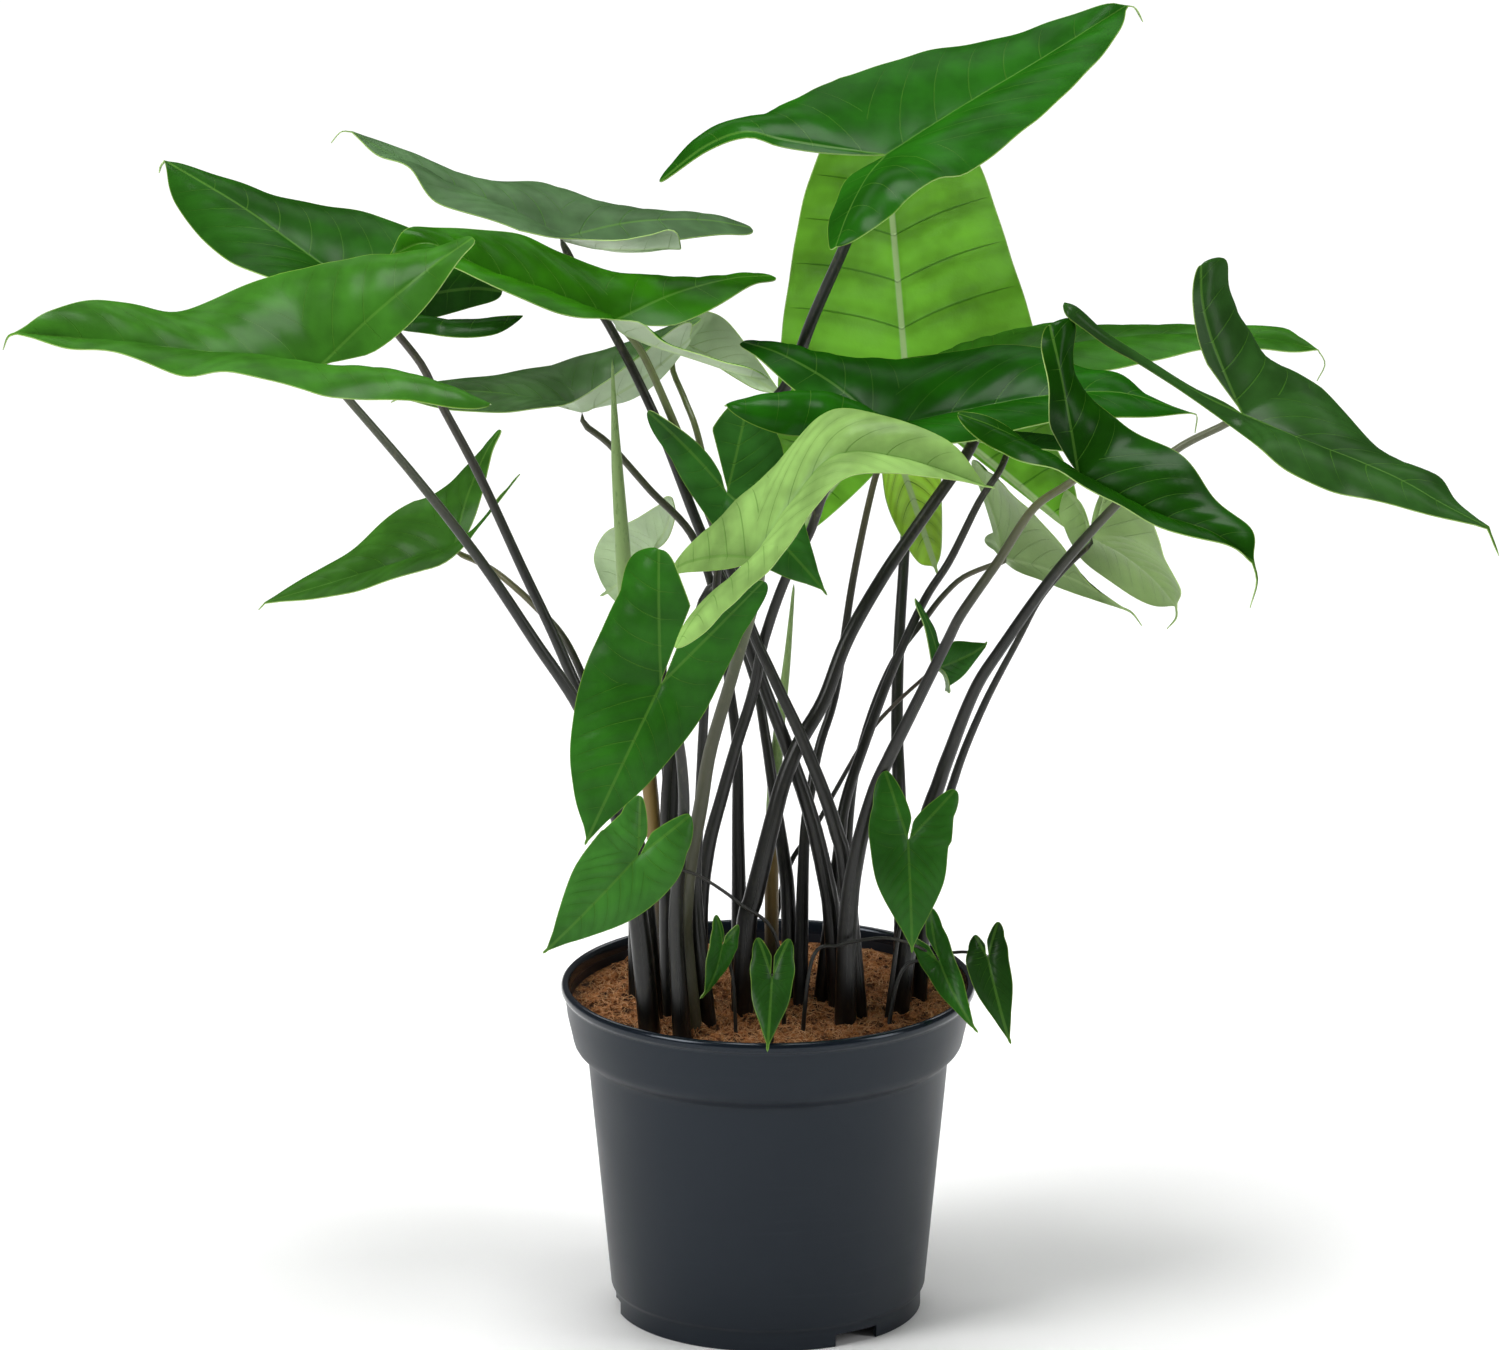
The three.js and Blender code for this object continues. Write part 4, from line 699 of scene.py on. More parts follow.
        joint=[1010, 445, 48], tip=[1120, 455, 60], left=[972, 422, 76], right=[975, 440, 16],
        width=[26, 26], wave=0,
        stalk=[[1000, 470, 35], [979, 502, 33], [950, 560, 31], [924, 601, 27], [892, 671, 20],
            [866, 740, 11], [845, 803, 2], [838, 860, -7]],
        foot=[28.0, -7.9, 160], thin=1.9, thick=5),
}
BLADE_THICKNESS = 0.0006
BLADE_WELD = 0.00002                # how near the rows of the two halves meet along the midrib
BLADE_CREASE = 60
HALF_WIDTH_SHARE = 0.36
TIP_HALF_WIDTH = 0.0012
TIP_REACH = 0.006                   # a blade narrower than this is widened towards that half width
SINUS_GAP = 0.0007
LOBE_END = 0.6
LOBE_ROUNDING = 0.6
MAIN_ROWS = 46
LOBE_ROWS = 30
COLUMNS = 13
INNER_COLUMNS = 4
RIB_COLUMNS = (0.0, 0.0010, 0.0022, 0.0040)
RIB_HEIGHT = 0.0013
RIB_WIDTH = 0.0013
RIB_GROOVE = 0.0004
RIB_TIP_SHARE = 0.3                 # of the rib's height, left at the leaf's tip
RIB_FADE = 0.02                     # where the blade is narrower than this the rib is lower
NARROW_ROW = 0.016                  # rows narrower than this have their rib columns drawn together
SIDE_VEINS = 7
LOBE_VEINS = 5
VEIN_SWEEP = 0.30
VEIN_SWEEPS = {"upright": -0.06, "glossy": 0.22, "top": 0.24}
QUILTING = 0.0008
QUILTINGS = {"upright": 0.0019, "young": 0.0005}
DEPTHS = np.arange(-520, 522, 2.0)  # tried for a margin reading, in millimetres like the next two
DEEPEST_RIB = 320
WIDEST_HALF = 200
STRONG_ARCH = 0.32                  # a half-blade that is arched more than this follows a circle
EDGE_STEP = 0.01
MEETING_ANGLE = math.radians(25)    # how far ahead of the joint a margin's lobe begins
DRIP_HALF_WIDTH = 0.0008            # of the thread that a leaf's tip runs out into
DRIP_REACH = 0.005
DRIP_DROP = 0.003
MIDRIB_ARCH = 0.06                  # share of the midrib's length
LOBE_BOW = 0.06                     # share of the lobe's length
BABY_FOLD = math.radians(8)
RIPPLE_CALM = (0.009, 0.012)        # the swell between veins fades this near to midrib and margin
WAVE_HEIGHT = 0.0006
WAVE_LENGTH = 0.085
WAVE_CALM = 0.03                    # where the blade is narrower than this its waves are lower
# Each leaf's tint is matched to how bright that leaf looks where it stands. Besides the leaf's own tone,
# each tint therefore holds painted light and shade.
TINTS_AND_PAINTED_LIGHT = {                           # upper side, underside
    "top": ((0.010, 0.075, 0.003), (0.16, 0.30, 0.08)),
    # Painted backlight: this leaf's tints are painted bright, as if lit through from behind.
    "upright": ((0.090, 0.235, 0.028), (0.150, 0.420, 0.030)),
    "wide": ((0.008, 0.070, 0.002), (0.20, 0.34, 0.14)),
    "long": ((0.027, 0.118, 0.008), (0.20, 0.32, 0.15)),
    "young": ((0.180, 0.310, 0.082), (0.26, 0.44, 0.13)),
    "glossy": ((0.018, 0.100, 0.007), (0.20, 0.34, 0.12)),
    "inner": ((0.024, 0.105, 0.014), (0.14, 0.24, 0.10)),
    "fore_right": ((0.006, 0.046, 0.001), (0.20, 0.34, 0.12)),
    "far_right": ((0.018, 0.062, 0.010), (0.14, 0.26, 0.09)),
    "fore_left": ((0.030, 0.122, 0.010), (0.22, 0.36, 0.12)),
    "upper_left": ((0.011, 0.060, 0.004), (0.20, 0.32, 0.14)),
    "mid_left": ((0.017, 0.100, 0.002), (0.40, 0.50, 0.33)),
    "high_left": ((0.052, 0.105, 0.042), (0.52, 0.62, 0.46)),
    "folded": ((0.052, 0.115, 0.036), (0.45, 0.57, 0.38)),
    "back_left": ((0.036, 0.130, 0.022), (0.40, 0.53, 0.31)),
    "low_left": ((0.032, 0.112, 0.012), (0.30, 0.45, 0.20)),
    "low_back": ((0.040, 0.130, 0.020), (0.37, 0.50, 0.28)),
    "back_right": ((0.036, 0.120, 0.018), (0.29, 0.43, 0.17)),
    "right_under": ((0.036, 0.120, 0.018), (0.28, 0.43, 0.15)),
    # Painted backlight: this leaf's tints are painted bright, as if lit through from behind.
    "hanging": ((0.175, 0.460, 0.032), (0.35, 0.64, 0.05)),
    "baby_left": ((0.034, 0.135, 0.018), (0.18, 0.32, 0.10)),
    "baby_front": ((0.015, 0.064, 0.008), (0.14, 0.27, 0.08)),
    "baby_outer": ((0.012, 0.048, 0.006), (0.14, 0.27, 0.08)),
}
BABY_TINT = ((0.020, 0.095, 0.010), (0.16, 0.30, 0.09))
MIDDLE_TINT = ((0.018, 0.090, 0.010), (0.20, 0.34, 0.13))


def seen(u, v, depth):
    """The point that the eye sees at (u, v), a depth in millimetres behind the pot's axis."""
    ray = SIGHT_WAY * SIGHT_DISTANCE / SIGHT_UNIT
    ray = ray + SIGHT_RIGHT * (u - SIGHT_CENTRE[0]) + SIGHT_UP * (SIGHT_CENTRE[1] - v)
    depth = np.asarray(depth, float) / 1000
    return EYE + ray * ((depth - EYE[1]) / ray[1])[..., None]


def unit(vector):
    return vector / np.maximum(np.linalg.norm(vector, axis=-1, keepdims=True), 1e-12)


def across(vector, axis):
    """The part of a vector that is square to an axis, at unit length."""
    return unit(vector - np.sum(vector * axis, axis=-1, keepdims=True) * axis)


def curve_through(points):
    """A smooth curve through points, as a function from shares of its length to places."""
    points = np.array(points)
    ends = np.vstack([2 * points[0] - points[1], points, 2 * points[-1] - points[-2]])
    t = np.arange(24)[:, None] / 24
    runs = []
    for p0, p1, p2, p3 in zip(ends, ends[1:], ends[2:], ends[3:]):
        runs.append(0.5 * (2 * p1 + (p2 - p0) * t + (2 * p0 - 5 * p1 + 4 * p2 - p3) * t ** 2
                           + (3 * p1 - p0 - 3 * p2 + p3) * t ** 3))
    samples = np.vstack([*runs, points[-1:]])
    run = np.concatenate([[0], np.cumsum(np.linalg.norm(np.diff(samples, axis=0), axis=1))])

    def at(share):
        place = np.asarray(share) * run[-1]
        return np.stack([np.interp(place, run, samples[:, k]) for k in range(3)], axis=-1)

    at.length = run[-1]
    return at


def nearness(p, a, b):
    """Distances from points to a stretch, and the shares along it of the nearest places."""
    span = b - a
    share = np.clip((p - a) @ span / (span @ span), 0, 1)
    return np.linalg.norm(p - a - share[:, None] * span, axis=1), share


def read_path(start, readings, end):
    """Readings between two others as places, their depth shared out along the way."""
    steps = np.array([start[:2], *[reading[:2] for reading in readings], end[:2]], float)
    run = np.cumsum(np.linalg.norm(np.diff(steps, axis=0), axis=1))
    return [seen(u, v, start[2] + (end[2] - start[2]) * part / run[-1])
            for (u, v), part in zip(readings, run)]


def leaf_frame(leaf):
    """The joint, tip and lobe tips of a leaf, the midrib's way, its side and its upper side."""
    joint, tip, left, right = (seen(*leaf[key]) for key in ("joint", "tip", "left", "right"))
    ahead = unit(tip - joint)
    side = across(left - right, ahead)
    return {"joint": joint, "tip": tip, "left": left, "right": right, "ahead": ahead, "side": side,
            "up": np.cross(ahead, side), "length": np.linalg.norm(tip - joint)}


def midrib(leaf, shape):
    """Points along the midrib from the tip to the joint."""
    joint, tip = np.array(leaf["joint"]), np.array(leaf["tip"])
    if "rib" in leaf:
        whole = math.dist(joint[:2], tip[:2])
        inner = []
        for u, v in leaf["rib"]:
            share = math.dist((u, v), joint[:2]) / whole
            inner.append(seen(u, v, joint[2] + share * (tip[2] - joint[2])))
        return [shape["tip"], *inner[::-1], shape["joint"]]
    lift = MIDRIB_ARCH * shape["length"]
    raised = [shape["joint"] + shape["ahead"] * share * shape["length"] + shape["up"] * lift
              for share in (0.7, 0.35)]
    return [shape["tip"], *raised, shape["joint"]]


def natural_depth(reading, is_far, lobe, shape, rib):
    """The depth at which a margin reading lies half a blade's natural width from the midrib."""
    p = seen(reading[0], reading[1], DEPTHS)
    length = shape["length"]
    along = (p - shape["joint"]) @ shape["ahead"]
    beside_rib = np.min([nearness(p, a, b)[0] for a, b in zip(rib, rib[1:])], axis=0)
    share = np.clip(along / length, 0, 1)
    rib_wish = HALF_WIDTH_SHARE * length * (1 - share) ** 0.8 * (1 + 0.45 * share)
    beside_lobe, share = nearness(p, shape["joint"], lobe)
    lobe_wish = HALF_WIDTH_SHARE * length * (1 - 0.15 * share) * (1 - share) ** 0.6
    gap = np.where(along > 0, beside_rib, beside_lobe)
    wish = np.where(along > 0, rib_wish, lobe_wish)
    closest = int(np.argmin(np.where(np.abs(DEPTHS) <= DEEPEST_RIB, gap, np.inf)))
    place = closest
    while abs(DEPTHS[place] - DEPTHS[closest]) < WIDEST_HALF and gap[place] < wish[place]:
        place += 1 if is_far else -1
    return DEPTHS[place]


def margin(leaf, name, shape, rib):
    """Points along one margin from the leaf's tip to the lobe's tip."""
    joint, ahead, length, lobe = shape["joint"], shape["ahead"], shape["length"], shape[name]
    sign, k = (1, 0) if name == "left" else (-1, 1)
    readings = leaf.get(name + "_edge")
    if readings is None:
        width = leaf["width"][k] / 1000 if "width" in leaf else HALF_WIDTH_SHARE * length
        out = sign * shape["side"] * math.cos(BABY_FOLD) + shape["up"] * math.sin(BABY_FOLD)
        back = lobe - joint
        beside = across(out, unit(back))
        return [shape["tip"], joint + ahead * 0.72 * length + out * 0.45 * width,
                joint + ahead * 0.4 * length + out * 0.86 * width,
                joint + ahead * 0.08 * length + out * width,
                joint + back * 0.45 + beside * 0.78 * width, lobe]
    own = []
    for reading in readings:
        if len(reading) == 3:
            own.append(reading[2])
        elif "far" in leaf:
            own.append(natural_depth(reading, leaf["far"] == name, lobe, shape, rib))
        else:
            near = seen(reading[0], reading[1], 0)
            way = seen(reading[0], reading[1], 1) - near
            own.append(float((joint - near) @ shape["up"] / (way @ shape["up"])))
    all_depths = [leaf["tip"][2], *own, leaf[name][2]]
    path = [shape["tip"]]
    for index, (reading, depth) in enumerate(zip(readings, own)):
        if "far" in leaf and len(reading) == 2:
            depth = 0.5 * depth + 0.25 * (all_depths[index] + all_depths[index + 2])
        path.append(seen(reading[0], reading[1], depth))
    return [*path, lobe]


def blade_rows(inner, outer, shape, sign, arch, shares):
    """Rows of points from the midrib or the lobe's vein out to the margin, arched upwards."""
    chord = outer - inner
    width = np.linalg.norm(chord, axis=1)
    way = np.where(width[:, None] > 1e-9, unit(chord), sign * shape["side"])
    up = across(shape["up"][None, :], way)
    bow = (4 * arch * width)[:, None] * shares * (1 - shares)
    gentle = inner[:, None] + chord[:, None] * shares[..., None] + up[:, None] * bow[..., None]
    height = np.where(np.abs(arch) > STRONG_ARCH, arch * width, 1.0)
    radius = (width ** 2 / 4 + height ** 2) / (2 * height)
    half = np.arctan2(width / 2, radius - height)
    angle = half[:, None] * (2 * shares - 1)
    beside = radius[:, None] * np.sin(angle)
    above = radius[:, None] * np.cos(angle) - (radius - height)[:, None]
    round_ = (inner + 0.5 * chord)[:, None] + way[:, None] * beside[..., None]
    round_ = round_ + up[:, None] * above[..., None]
    strong = (np.abs(arch) > STRONG_ARCH) & (width > 1e-6)
    return np.where(strong[:, None, None], round_, gentle), way, up


def meeting_share(edge_curve, joint, ahead):
    """The share of a margin's length, from the tip, at which the blade passes into its lobe."""
    shares = np.arange(0, 0.955, EDGE_STEP)
    rel = edge_curve(shares) - joint
    along = rel @ ahead
    beside = np.linalg.norm(rel - along[:, None] * ahead, axis=1)
    before = np.nonzero(along > math.tan(MEETING_ANGLE) * beside)[0]
    return shares[before[-1]] + EDGE_STEP if len(before) else 0.5


def half_blade(leaf, name, shape, sweep):
    """One half of a blade as a net of places, with what its pattern follows.

    Gives places; main and lobe, each the vein number and the metres between veins; off, the metres
    from the main vein and from the margin; run, the share of the way from tip or lobe's tip to the
    joint; and the first row that lies in the lobe.
    """
    sign, k = (1, 0) if name == "left" else (-1, 1)
    joint, ahead, up, lobe = shape["joint"], shape["ahead"], shape["up"], shape[name]
    rib = midrib(leaf, shape)
    rib_curve = curve_through(rib)
    edge_curve = curve_through(margin(leaf, name, shape, rib))
    apart = unit(unit(shape["left"] - joint) - unit(shape["right"] - joint))
    back = lobe - joint
    lobe_length = np.linalg.norm(back)
    back_way = unit(back)
    meeting = meeting_share(edge_curve, joint, ahead)
    arch = leaf.get("curl", (0.1, 0.1))[k]
    roll = leaf.get("roll", (0.12, 0.12))[k]
    bow = LOBE_BOW * lobe_length
    inner = leaf.get("inner", (0.16, 0.16))[k] * lobe_length

    tail = [seen(u, v, d[0] if d else leaf["tip"][2]) for u, v, *d in leaf.get("tail", [])]
    if not tail:
        tail = [shape["tip"] + ahead * DRIP_REACH - up * DRIP_DROP]
    drip = curve_through([*tail[::-1], shape["tip"]])
    drip_shares = np.linspace(0, 1, 4 * len(tail) + 1)[:-1]
    drip_from = drip(drip_shares)
    drip_to = drip_from + sign * shape["side"] * (DRIP_HALF_WIDTH * np.minimum(1, 3 * drip_shares))[:, None]

    main_shares = np.arange(MAIN_ROWS) / MAIN_ROWS
    main_from = rib_curve(main_shares)
    main_to = edge_curve(meeting * main_shares)
    least = TIP_HALF_WIDTH * np.maximum(0, 1 - np.linalg.norm(main_to - main_from, axis=1) / TIP_REACH)
    main_to = main_to + sign * shape["side"] * least[:, None]

    lobe_shares = 1 - (1 - np.arange(LOBE_ROWS + 1) / LOBE_ROWS) ** 1.5
    lift = across(up, back_way)
    inside = [joint + 0.35 * back + bow * lift, joint + 0.72 * back + 0.9 * bow * lift]
    if name + "_vein" in leaf:
        inside = read_path(leaf["joint"], leaf[name + "_vein"], leaf[name])
    vein = curve_through([joint, *inside, lobe])
    lobe_from = vein(lobe_shares)
    lobe_to = edge_curve(meeting + (1 - meeting) * lobe_shares)
    last = np.clip((lobe_shares - LOBE_END) / (1 - LOBE_END), 0, 0.9999)
    swell = np.where(lobe_shares < 1, LOBE_ROUNDING * (np.sqrt((1 + last) / (1 - last)) - 1), 0)
    lobe_to = lobe_to + (lobe_to - lobe_from) * swell[:, None]
    ease = np.clip(lobe_shares / 0.6, 0, 1)
    bend = arch + (roll - arch) * ease * ease * (3 - 2 * ease)

    first_lobe_row = len(drip_from) + MAIN_ROWS
    row_from = np.vstack([drip_from, main_from, lobe_from])
    row_to = np.vstack([drip_to, main_to, lobe_to])
    row_arch = np.concatenate([np.full(first_lobe_row, arch), bend])
    width = np.linalg.norm(row_to - row_from, axis=1)
    near = np.array(RIB_COLUMNS)[None, :] / np.maximum(width, NARROW_ROW)[:, None]
    rest = np.linspace(0, 1, COLUMNS - len(RIB_COLUMNS) + 2)[1:]
    shares = np.hstack([near, near[:, -1:] + (1 - near[:, -1:]) * rest])
    net, way, row_up = blade_rows(row_from, row_to, shape, sign, row_arch, shares)

    run_way = np.repeat(back_way[None, :], len(row_from), axis=0)
    if name + "_vein" in leaf:
        ahead_of = vein(np.minimum(lobe_shares + 0.01, 1)) - vein(np.maximum(lobe_shares - 0.01, 0))
        run_way[first_lobe_row:] = unit(ahead_of)
    inward = across(-(way + 2.6 * row_arch[:, None] * row_up), run_way)
    closing = -sign * inward @ apart
    room = sign * (row_from - joint) @ apart - SINUS_GAP
    full = np.zeros(len(row_from))
    lobe_part = slice(first_lobe_row, None)
    base = np.maximum(np.sin(math.pi * lobe_shares ** 0.8), 0)
    full[lobe_part] = inner * base ** (0.9 - 0.45 * lobe_shares)
    most = np.where(closing > 0, np.maximum(room, 0) / np.maximum(closing, 1e-9), full)
    reach = np.minimum(full, most)
    reach[lobe_part][0] = 0
    reach[lobe_part][-1] = 0
    back_shares = 1 - np.arange(INNER_COLUMNS) / INNER_COLUMNS
    strip = row_from[:, None] + inward[:, None] * (reach[:, None] * back_shares)[..., None]
    places = np.concatenate([strip, net], axis=1)

    out = np.concatenate([-np.outer(reach, back_shares), width[:, None] * shares], axis=1)
    to_edge = np.concatenate([np.outer(reach, 1 - back_shares), width[:, None] * (1 - shares)], axis=1)
    part = np.clip(out / np.maximum(width, 1e-6)[:, None], 0, 1) ** 1.4
    main_run = np.concatenate([np.zeros(len(drip_from)), main_shares, np.ones(LOBE_ROWS + 1)])[:, None]
    main_number = SIDE_VEINS * np.clip(main_run / (1 - sweep * part), 0, 1.2) + 0.5
    lobe_run = np.concatenate([np.zeros(first_lobe_row), lobe_shares])[:, None]
    lobe_number = LOBE_VEINS * (lobe_run - sweep * part) / (1 - sweep * part) + 20.5
    main_step = np.full(out.shape, rib_curve.length / SIDE_VEINS)
    lobe_step = np.full(out.shape, vein.length / LOBE_VEINS)
    return {"places": places, "main": np.stack([main_number, main_step], -1),
            "lobe": np.stack([lobe_number, lobe_step], -1), "off": np.stack([out, to_edge], -1),
            "first_lobe_row": first_lobe_row,
            "run": np.concatenate([np.zeros(len(drip_from)), main_shares, 1 - lobe_shares])}


def shaped_net(name, places):
    """A grid whose points are moved to a net of places; gives it with each point's row and column."""
    rows, columns = places.shape[:2]
    pick()
    bpy.ops.mesh.primitive_grid_add(x_subdivisions=columns - 1, y_subdivisions=rows - 1, size=2)
    body = bpy.context.object
    body.name = name
    flat = spots_of(body)
    column = np.rint((flat[:, 0] + 1) / 2 * (columns - 1)).astype(int)
    row = np.rint((flat[:, 1] + 1) / 2 * (rows - 1)).astype(int)
    move_to(body, places[row, column])
    return body, row, column


def pattern_map(body, label, values):
    """Writes a UV map from one pair of values for each corner."""
    layer = body.data.uv_layers.get(label) or body.data.uv_layers.new(name=label)
    layer.data.foreach_set("uv", np.ascontiguousarray(values, dtype=np.float32).ravel())


def corners(body):
    index = np.empty(len(body.data.loops), int)
    body.data.loops.foreach_get("vertex_index", index)
    return index


def point_values(body, label):
    values = np.empty(len(body.data.vertices))
    body.data.attributes[label].data.foreach_get("value", values)
    return values


def quilting(net, height):
    """How far each place of a half-blade stands off its smooth sheet: the swell between veins."""
    rows = np.arange(len(net["run"]))[:, None]
    number = np.where(rows < net["first_lobe_row"], net["main"][..., 0], net["lobe"][..., 0])
    out, to_edge = np.abs(net["off"][..., 0]), net["off"][..., 1]
    far_from_rib = np.clip(out / RIPPLE_CALM[0], 0, 1)
    far_from_edge = np.clip(to_edge / RIPPLE_CALM[1], 0, 1)
    far_from_joint = np.clip(np.abs(rows - net["first_lobe_row"]) / 3.0, 0, 1)
    swell = np.abs(np.sin(math.pi * number)) ** 0.8 - 0.5
    return height * swell * far_from_rib * far_from_edge * far_from_joint


def waves(net, size, amount, phase):
    """The slow waves along a margin."""
    along = net["run"][:, None] * size
    breadth = np.abs(net["off"][..., 0]) + net["off"][..., 1]
    part = np.clip(net["off"][..., 0] / np.maximum(breadth, 1e-6), 0, 1) ** 2
    calm = np.clip(breadth / WAVE_CALM, 0, 1)
    turn = 2 * math.pi * along / WAVE_LENGTH
    swing = np.sin(turn + phase) + 0.5 * np.sin(2.15 * turn)
    return WAVE_HEIGHT * amount * part * calm * swing


def blade(name, leaf, draw):
    """The whole blade of a leaf as one closed piece, its upper side, underside and rim marked."""
    shape = leaf_frame(leaf)
    halves = []
    for side in ("left", "right"):
        net = half_blade(leaf, side, shape, VEIN_SWEEPS.get(name, VEIN_SWEEP))
        half, row, column = shaped_net(name + "_" + side, net["places"])
        if side == "right":
            half.data.flip_normals()
        index = corners(half)
        starts = np.empty(len(half.data.polygons), int)
        half.data.polygons.foreach_get("loop_start", starts)
        lowest = np.minimum.reduceat(row[index], starts)
        in_lobe = np.repeat(lowest >= net["first_lobe_row"], 4)[:, None]
        at = (row[index], column[index])
        pattern_map(half, "vein_number", np.where(in_lobe, net["lobe"][at], net["main"][at]))
        pattern_map(half, "vein_distance", np.abs(net["off"][at]))
        amount = leaf.get("wave", 1) * draw.uniform(0.7, 1.3)
        height = QUILTINGS.get(name, QUILTING)
        lift = quilting(net, height) + waves(net, shape["length"], amount, draw.uniform(0, 2 * math.pi))
        breadth = np.abs(net["off"][..., 0]) + net["off"][..., 1]
        ridge = np.exp(-(net["off"][..., 0] / RIB_WIDTH) ** 2) * np.clip(breadth / RIB_FADE, 0.1, 1)
        ridge = ridge * (RIB_TIP_SHARE + (1 - RIB_TIP_SHARE) * net["run"][:, None])
        for label, values in (("lift", lift), ("ridge", ridge)):
            keep_values(half, label, values[row, column])
        halves.append(half)
    pick(*halves)
    bpy.ops.object.join()
    body = bpy.context.object
    body.name = "leaf_" + name
    bpy.ops.object.mode_set(mode="EDIT")
    bpy.ops.mesh.select_all(action="SELECT")
    bpy.ops.mesh.remove_doubles(threshold=BLADE_WELD)
    bpy.ops.object.mode_set(mode="OBJECT")
    move_along_normals(body, point_values(body, "lift"))
    wall = body.modifiers.new("wall", "SOLIDIFY")
    wall.thickness = BLADE_THICKNESS
    wall.offset = 0
    wall.material_offset = 1
    wall.material_offset_rim = 2
    for _ in range(3):
        body.data.materials.append(None)
    bpy.ops.object.modifier_apply(modifier="wall")
    side_of = np.zeros(len(body.data.vertices))
    for face in body.data.polygons:
        if face.material_index < 2:
            side_of[list(face.vertices)] = (-RIB_GROOVE, RIB_HEIGHT)[face.material_index]
    move_along_normals(body, side_of * point_values(body, "ridge"))
    for label in ("lift", "ridge"):
        body.data.attributes.remove(body.data.attributes[label])
    return body


def move_along_normals(body, distances):
    ways = np.empty(len(body.data.vertices) * 3)
    body.data.vertex_normals.foreach_get("vector", ways)
    move_to(body, spots_of(body) + ways.reshape(-1, 3) * distances[:, None])


def tint(body, label, colour):
    """Keeps one colour for a whole piece as an attribute that a material reads."""
    layer = body.data.color_attributes.new(label, "FLOAT_COLOR", "POINT")
    colours = np.tile([*colour, 1.0], len(body.data.vertices))
    layer.data.foreach_set("color", colours.astype(np.float32))


# What the veins draw on a blade: the main veins, the side veins between them, the margin, and a
# slow cloud of lighter and darker patches. Every leaf finish uses it with its own values.
veins = bpy.data.node_groups.new("leaf_veins", "ShaderNodeTree")
for labels, way in ((("Vein width", "Main width", "Margin width"), "INPUT"),
                    (("Main", "Side", "Margin", "Cloud", "Between"), "OUTPUT")):
    for label in labels:
        veins.interface.new_socket(name=label, in_out=way, socket_type="NodeSocketFloat")
wires = Wiring(veins)
given = wires.nodes.new("NodeGroupInput").outputs
number = wires.split(wires.node("UVMap", uv_map="vein_number").outputs[0])
distance = wires.split(wires.node("UVMap", uv_map="vein_distance").outputs[0])
past = wires.maths("ABSOLUTE", wires.maths("SUBTRACT", number[0], wires.maths("ROUND", number[0])))
thin = wires.times(given["Vein width"], wires.ranged(distance[1], 0.0, 0.03, 0.35, 1.0))
side = wires.ranged(wires.times(past, number[1]), wires.times(thin, 0.3), thin, 1.0, 0.0)
main, rim = given["Main width"], given["Margin width"]
wires.feed(wires.nodes.new("NodeGroupOutput"), {
    "Main": wires.ranged(distance[0], wires.times(main, 0.45), main, 1.0, 0.0),
    "Side": wires.times(side, wires.ranged(distance[1], 0.001, 0.008)),
    "Margin": wires.ranged(distance[1], wires.times(rim, 0.4), rim, 1.0, 0.0),
    "Cloud": wires.noise(wires.place(), 26.0, 3.0, 0.55),
    "Between": wires.times(past, 2.0)})


def leaf_skin(name, tone, colours, widths, strengths, spans, roughness, bump, **values):
    """A blade's finish: its tint under the veins, margin and clouds, with its gloss and relief.

    colours, widths and strengths are those of the side veins, the main veins and the margin.
    spans are the darkest and lightest shares of the tint in its clouds, then at a side vein and
    midway between two. bump is the height of the grain and of the side veins.
    """
    skin, wires, shader = new_material(name, **values)
    pattern = wires.nodes.new("ShaderNodeGroup")
    pattern.node_tree = veins
    wires.feed(pattern, dict(zip(("Vein width", "Main width", "Margin width"), widths)))
    pattern = pattern.outputs
    colour = wires.node("Attribute", attribute_name=tone).outputs["Color"]
    for part, (low, high) in zip(("Cloud", "Between"), spans):
        share = wires.ranged(pattern[part], 0.3, 0.7, low, high)
        colour = wires.mixed(1.0, colour, share, "MULTIPLY")
    for part, tone_of_part, strength in zip(("Side", "Main", "Margin"), colours, strengths):
        colour = wires.mixed(wires.times(pattern[part], strength), colour, tone_of_part)
    cloud = wires.ranged(pattern["Cloud"], 0.3, 0.7)
    wires.feed(shader, {"Base Color": colour, "Roughness": wires.ranged(cloud, 0, 1, *roughness, "LINEAR")})
    grain = wires.times(wires.noise(wires.place(), 420.0, 3.0, 0.6), bump[0])
    raised = wires.times(pattern["Side"], bump[1])
    wires.relief(shader, wires.maths("ADD", grain, raised), 1.0, 0.0006)
    return skin


VEIN_GREEN = (0.060, 0.180, 0.016, 1)
RIB_GREEN = (0.090, 0.220, 0.030, 1)
EDGE_GREEN = (0.24, 0.40, 0.06, 1)
UNDER_VEIN = (0.30, 0.44, 0.18, 1)
UNDER_RIB = (0.38, 0.52, 0.24, 1)
UNDER_EDGE = (0.34, 0.50, 0.16, 1)
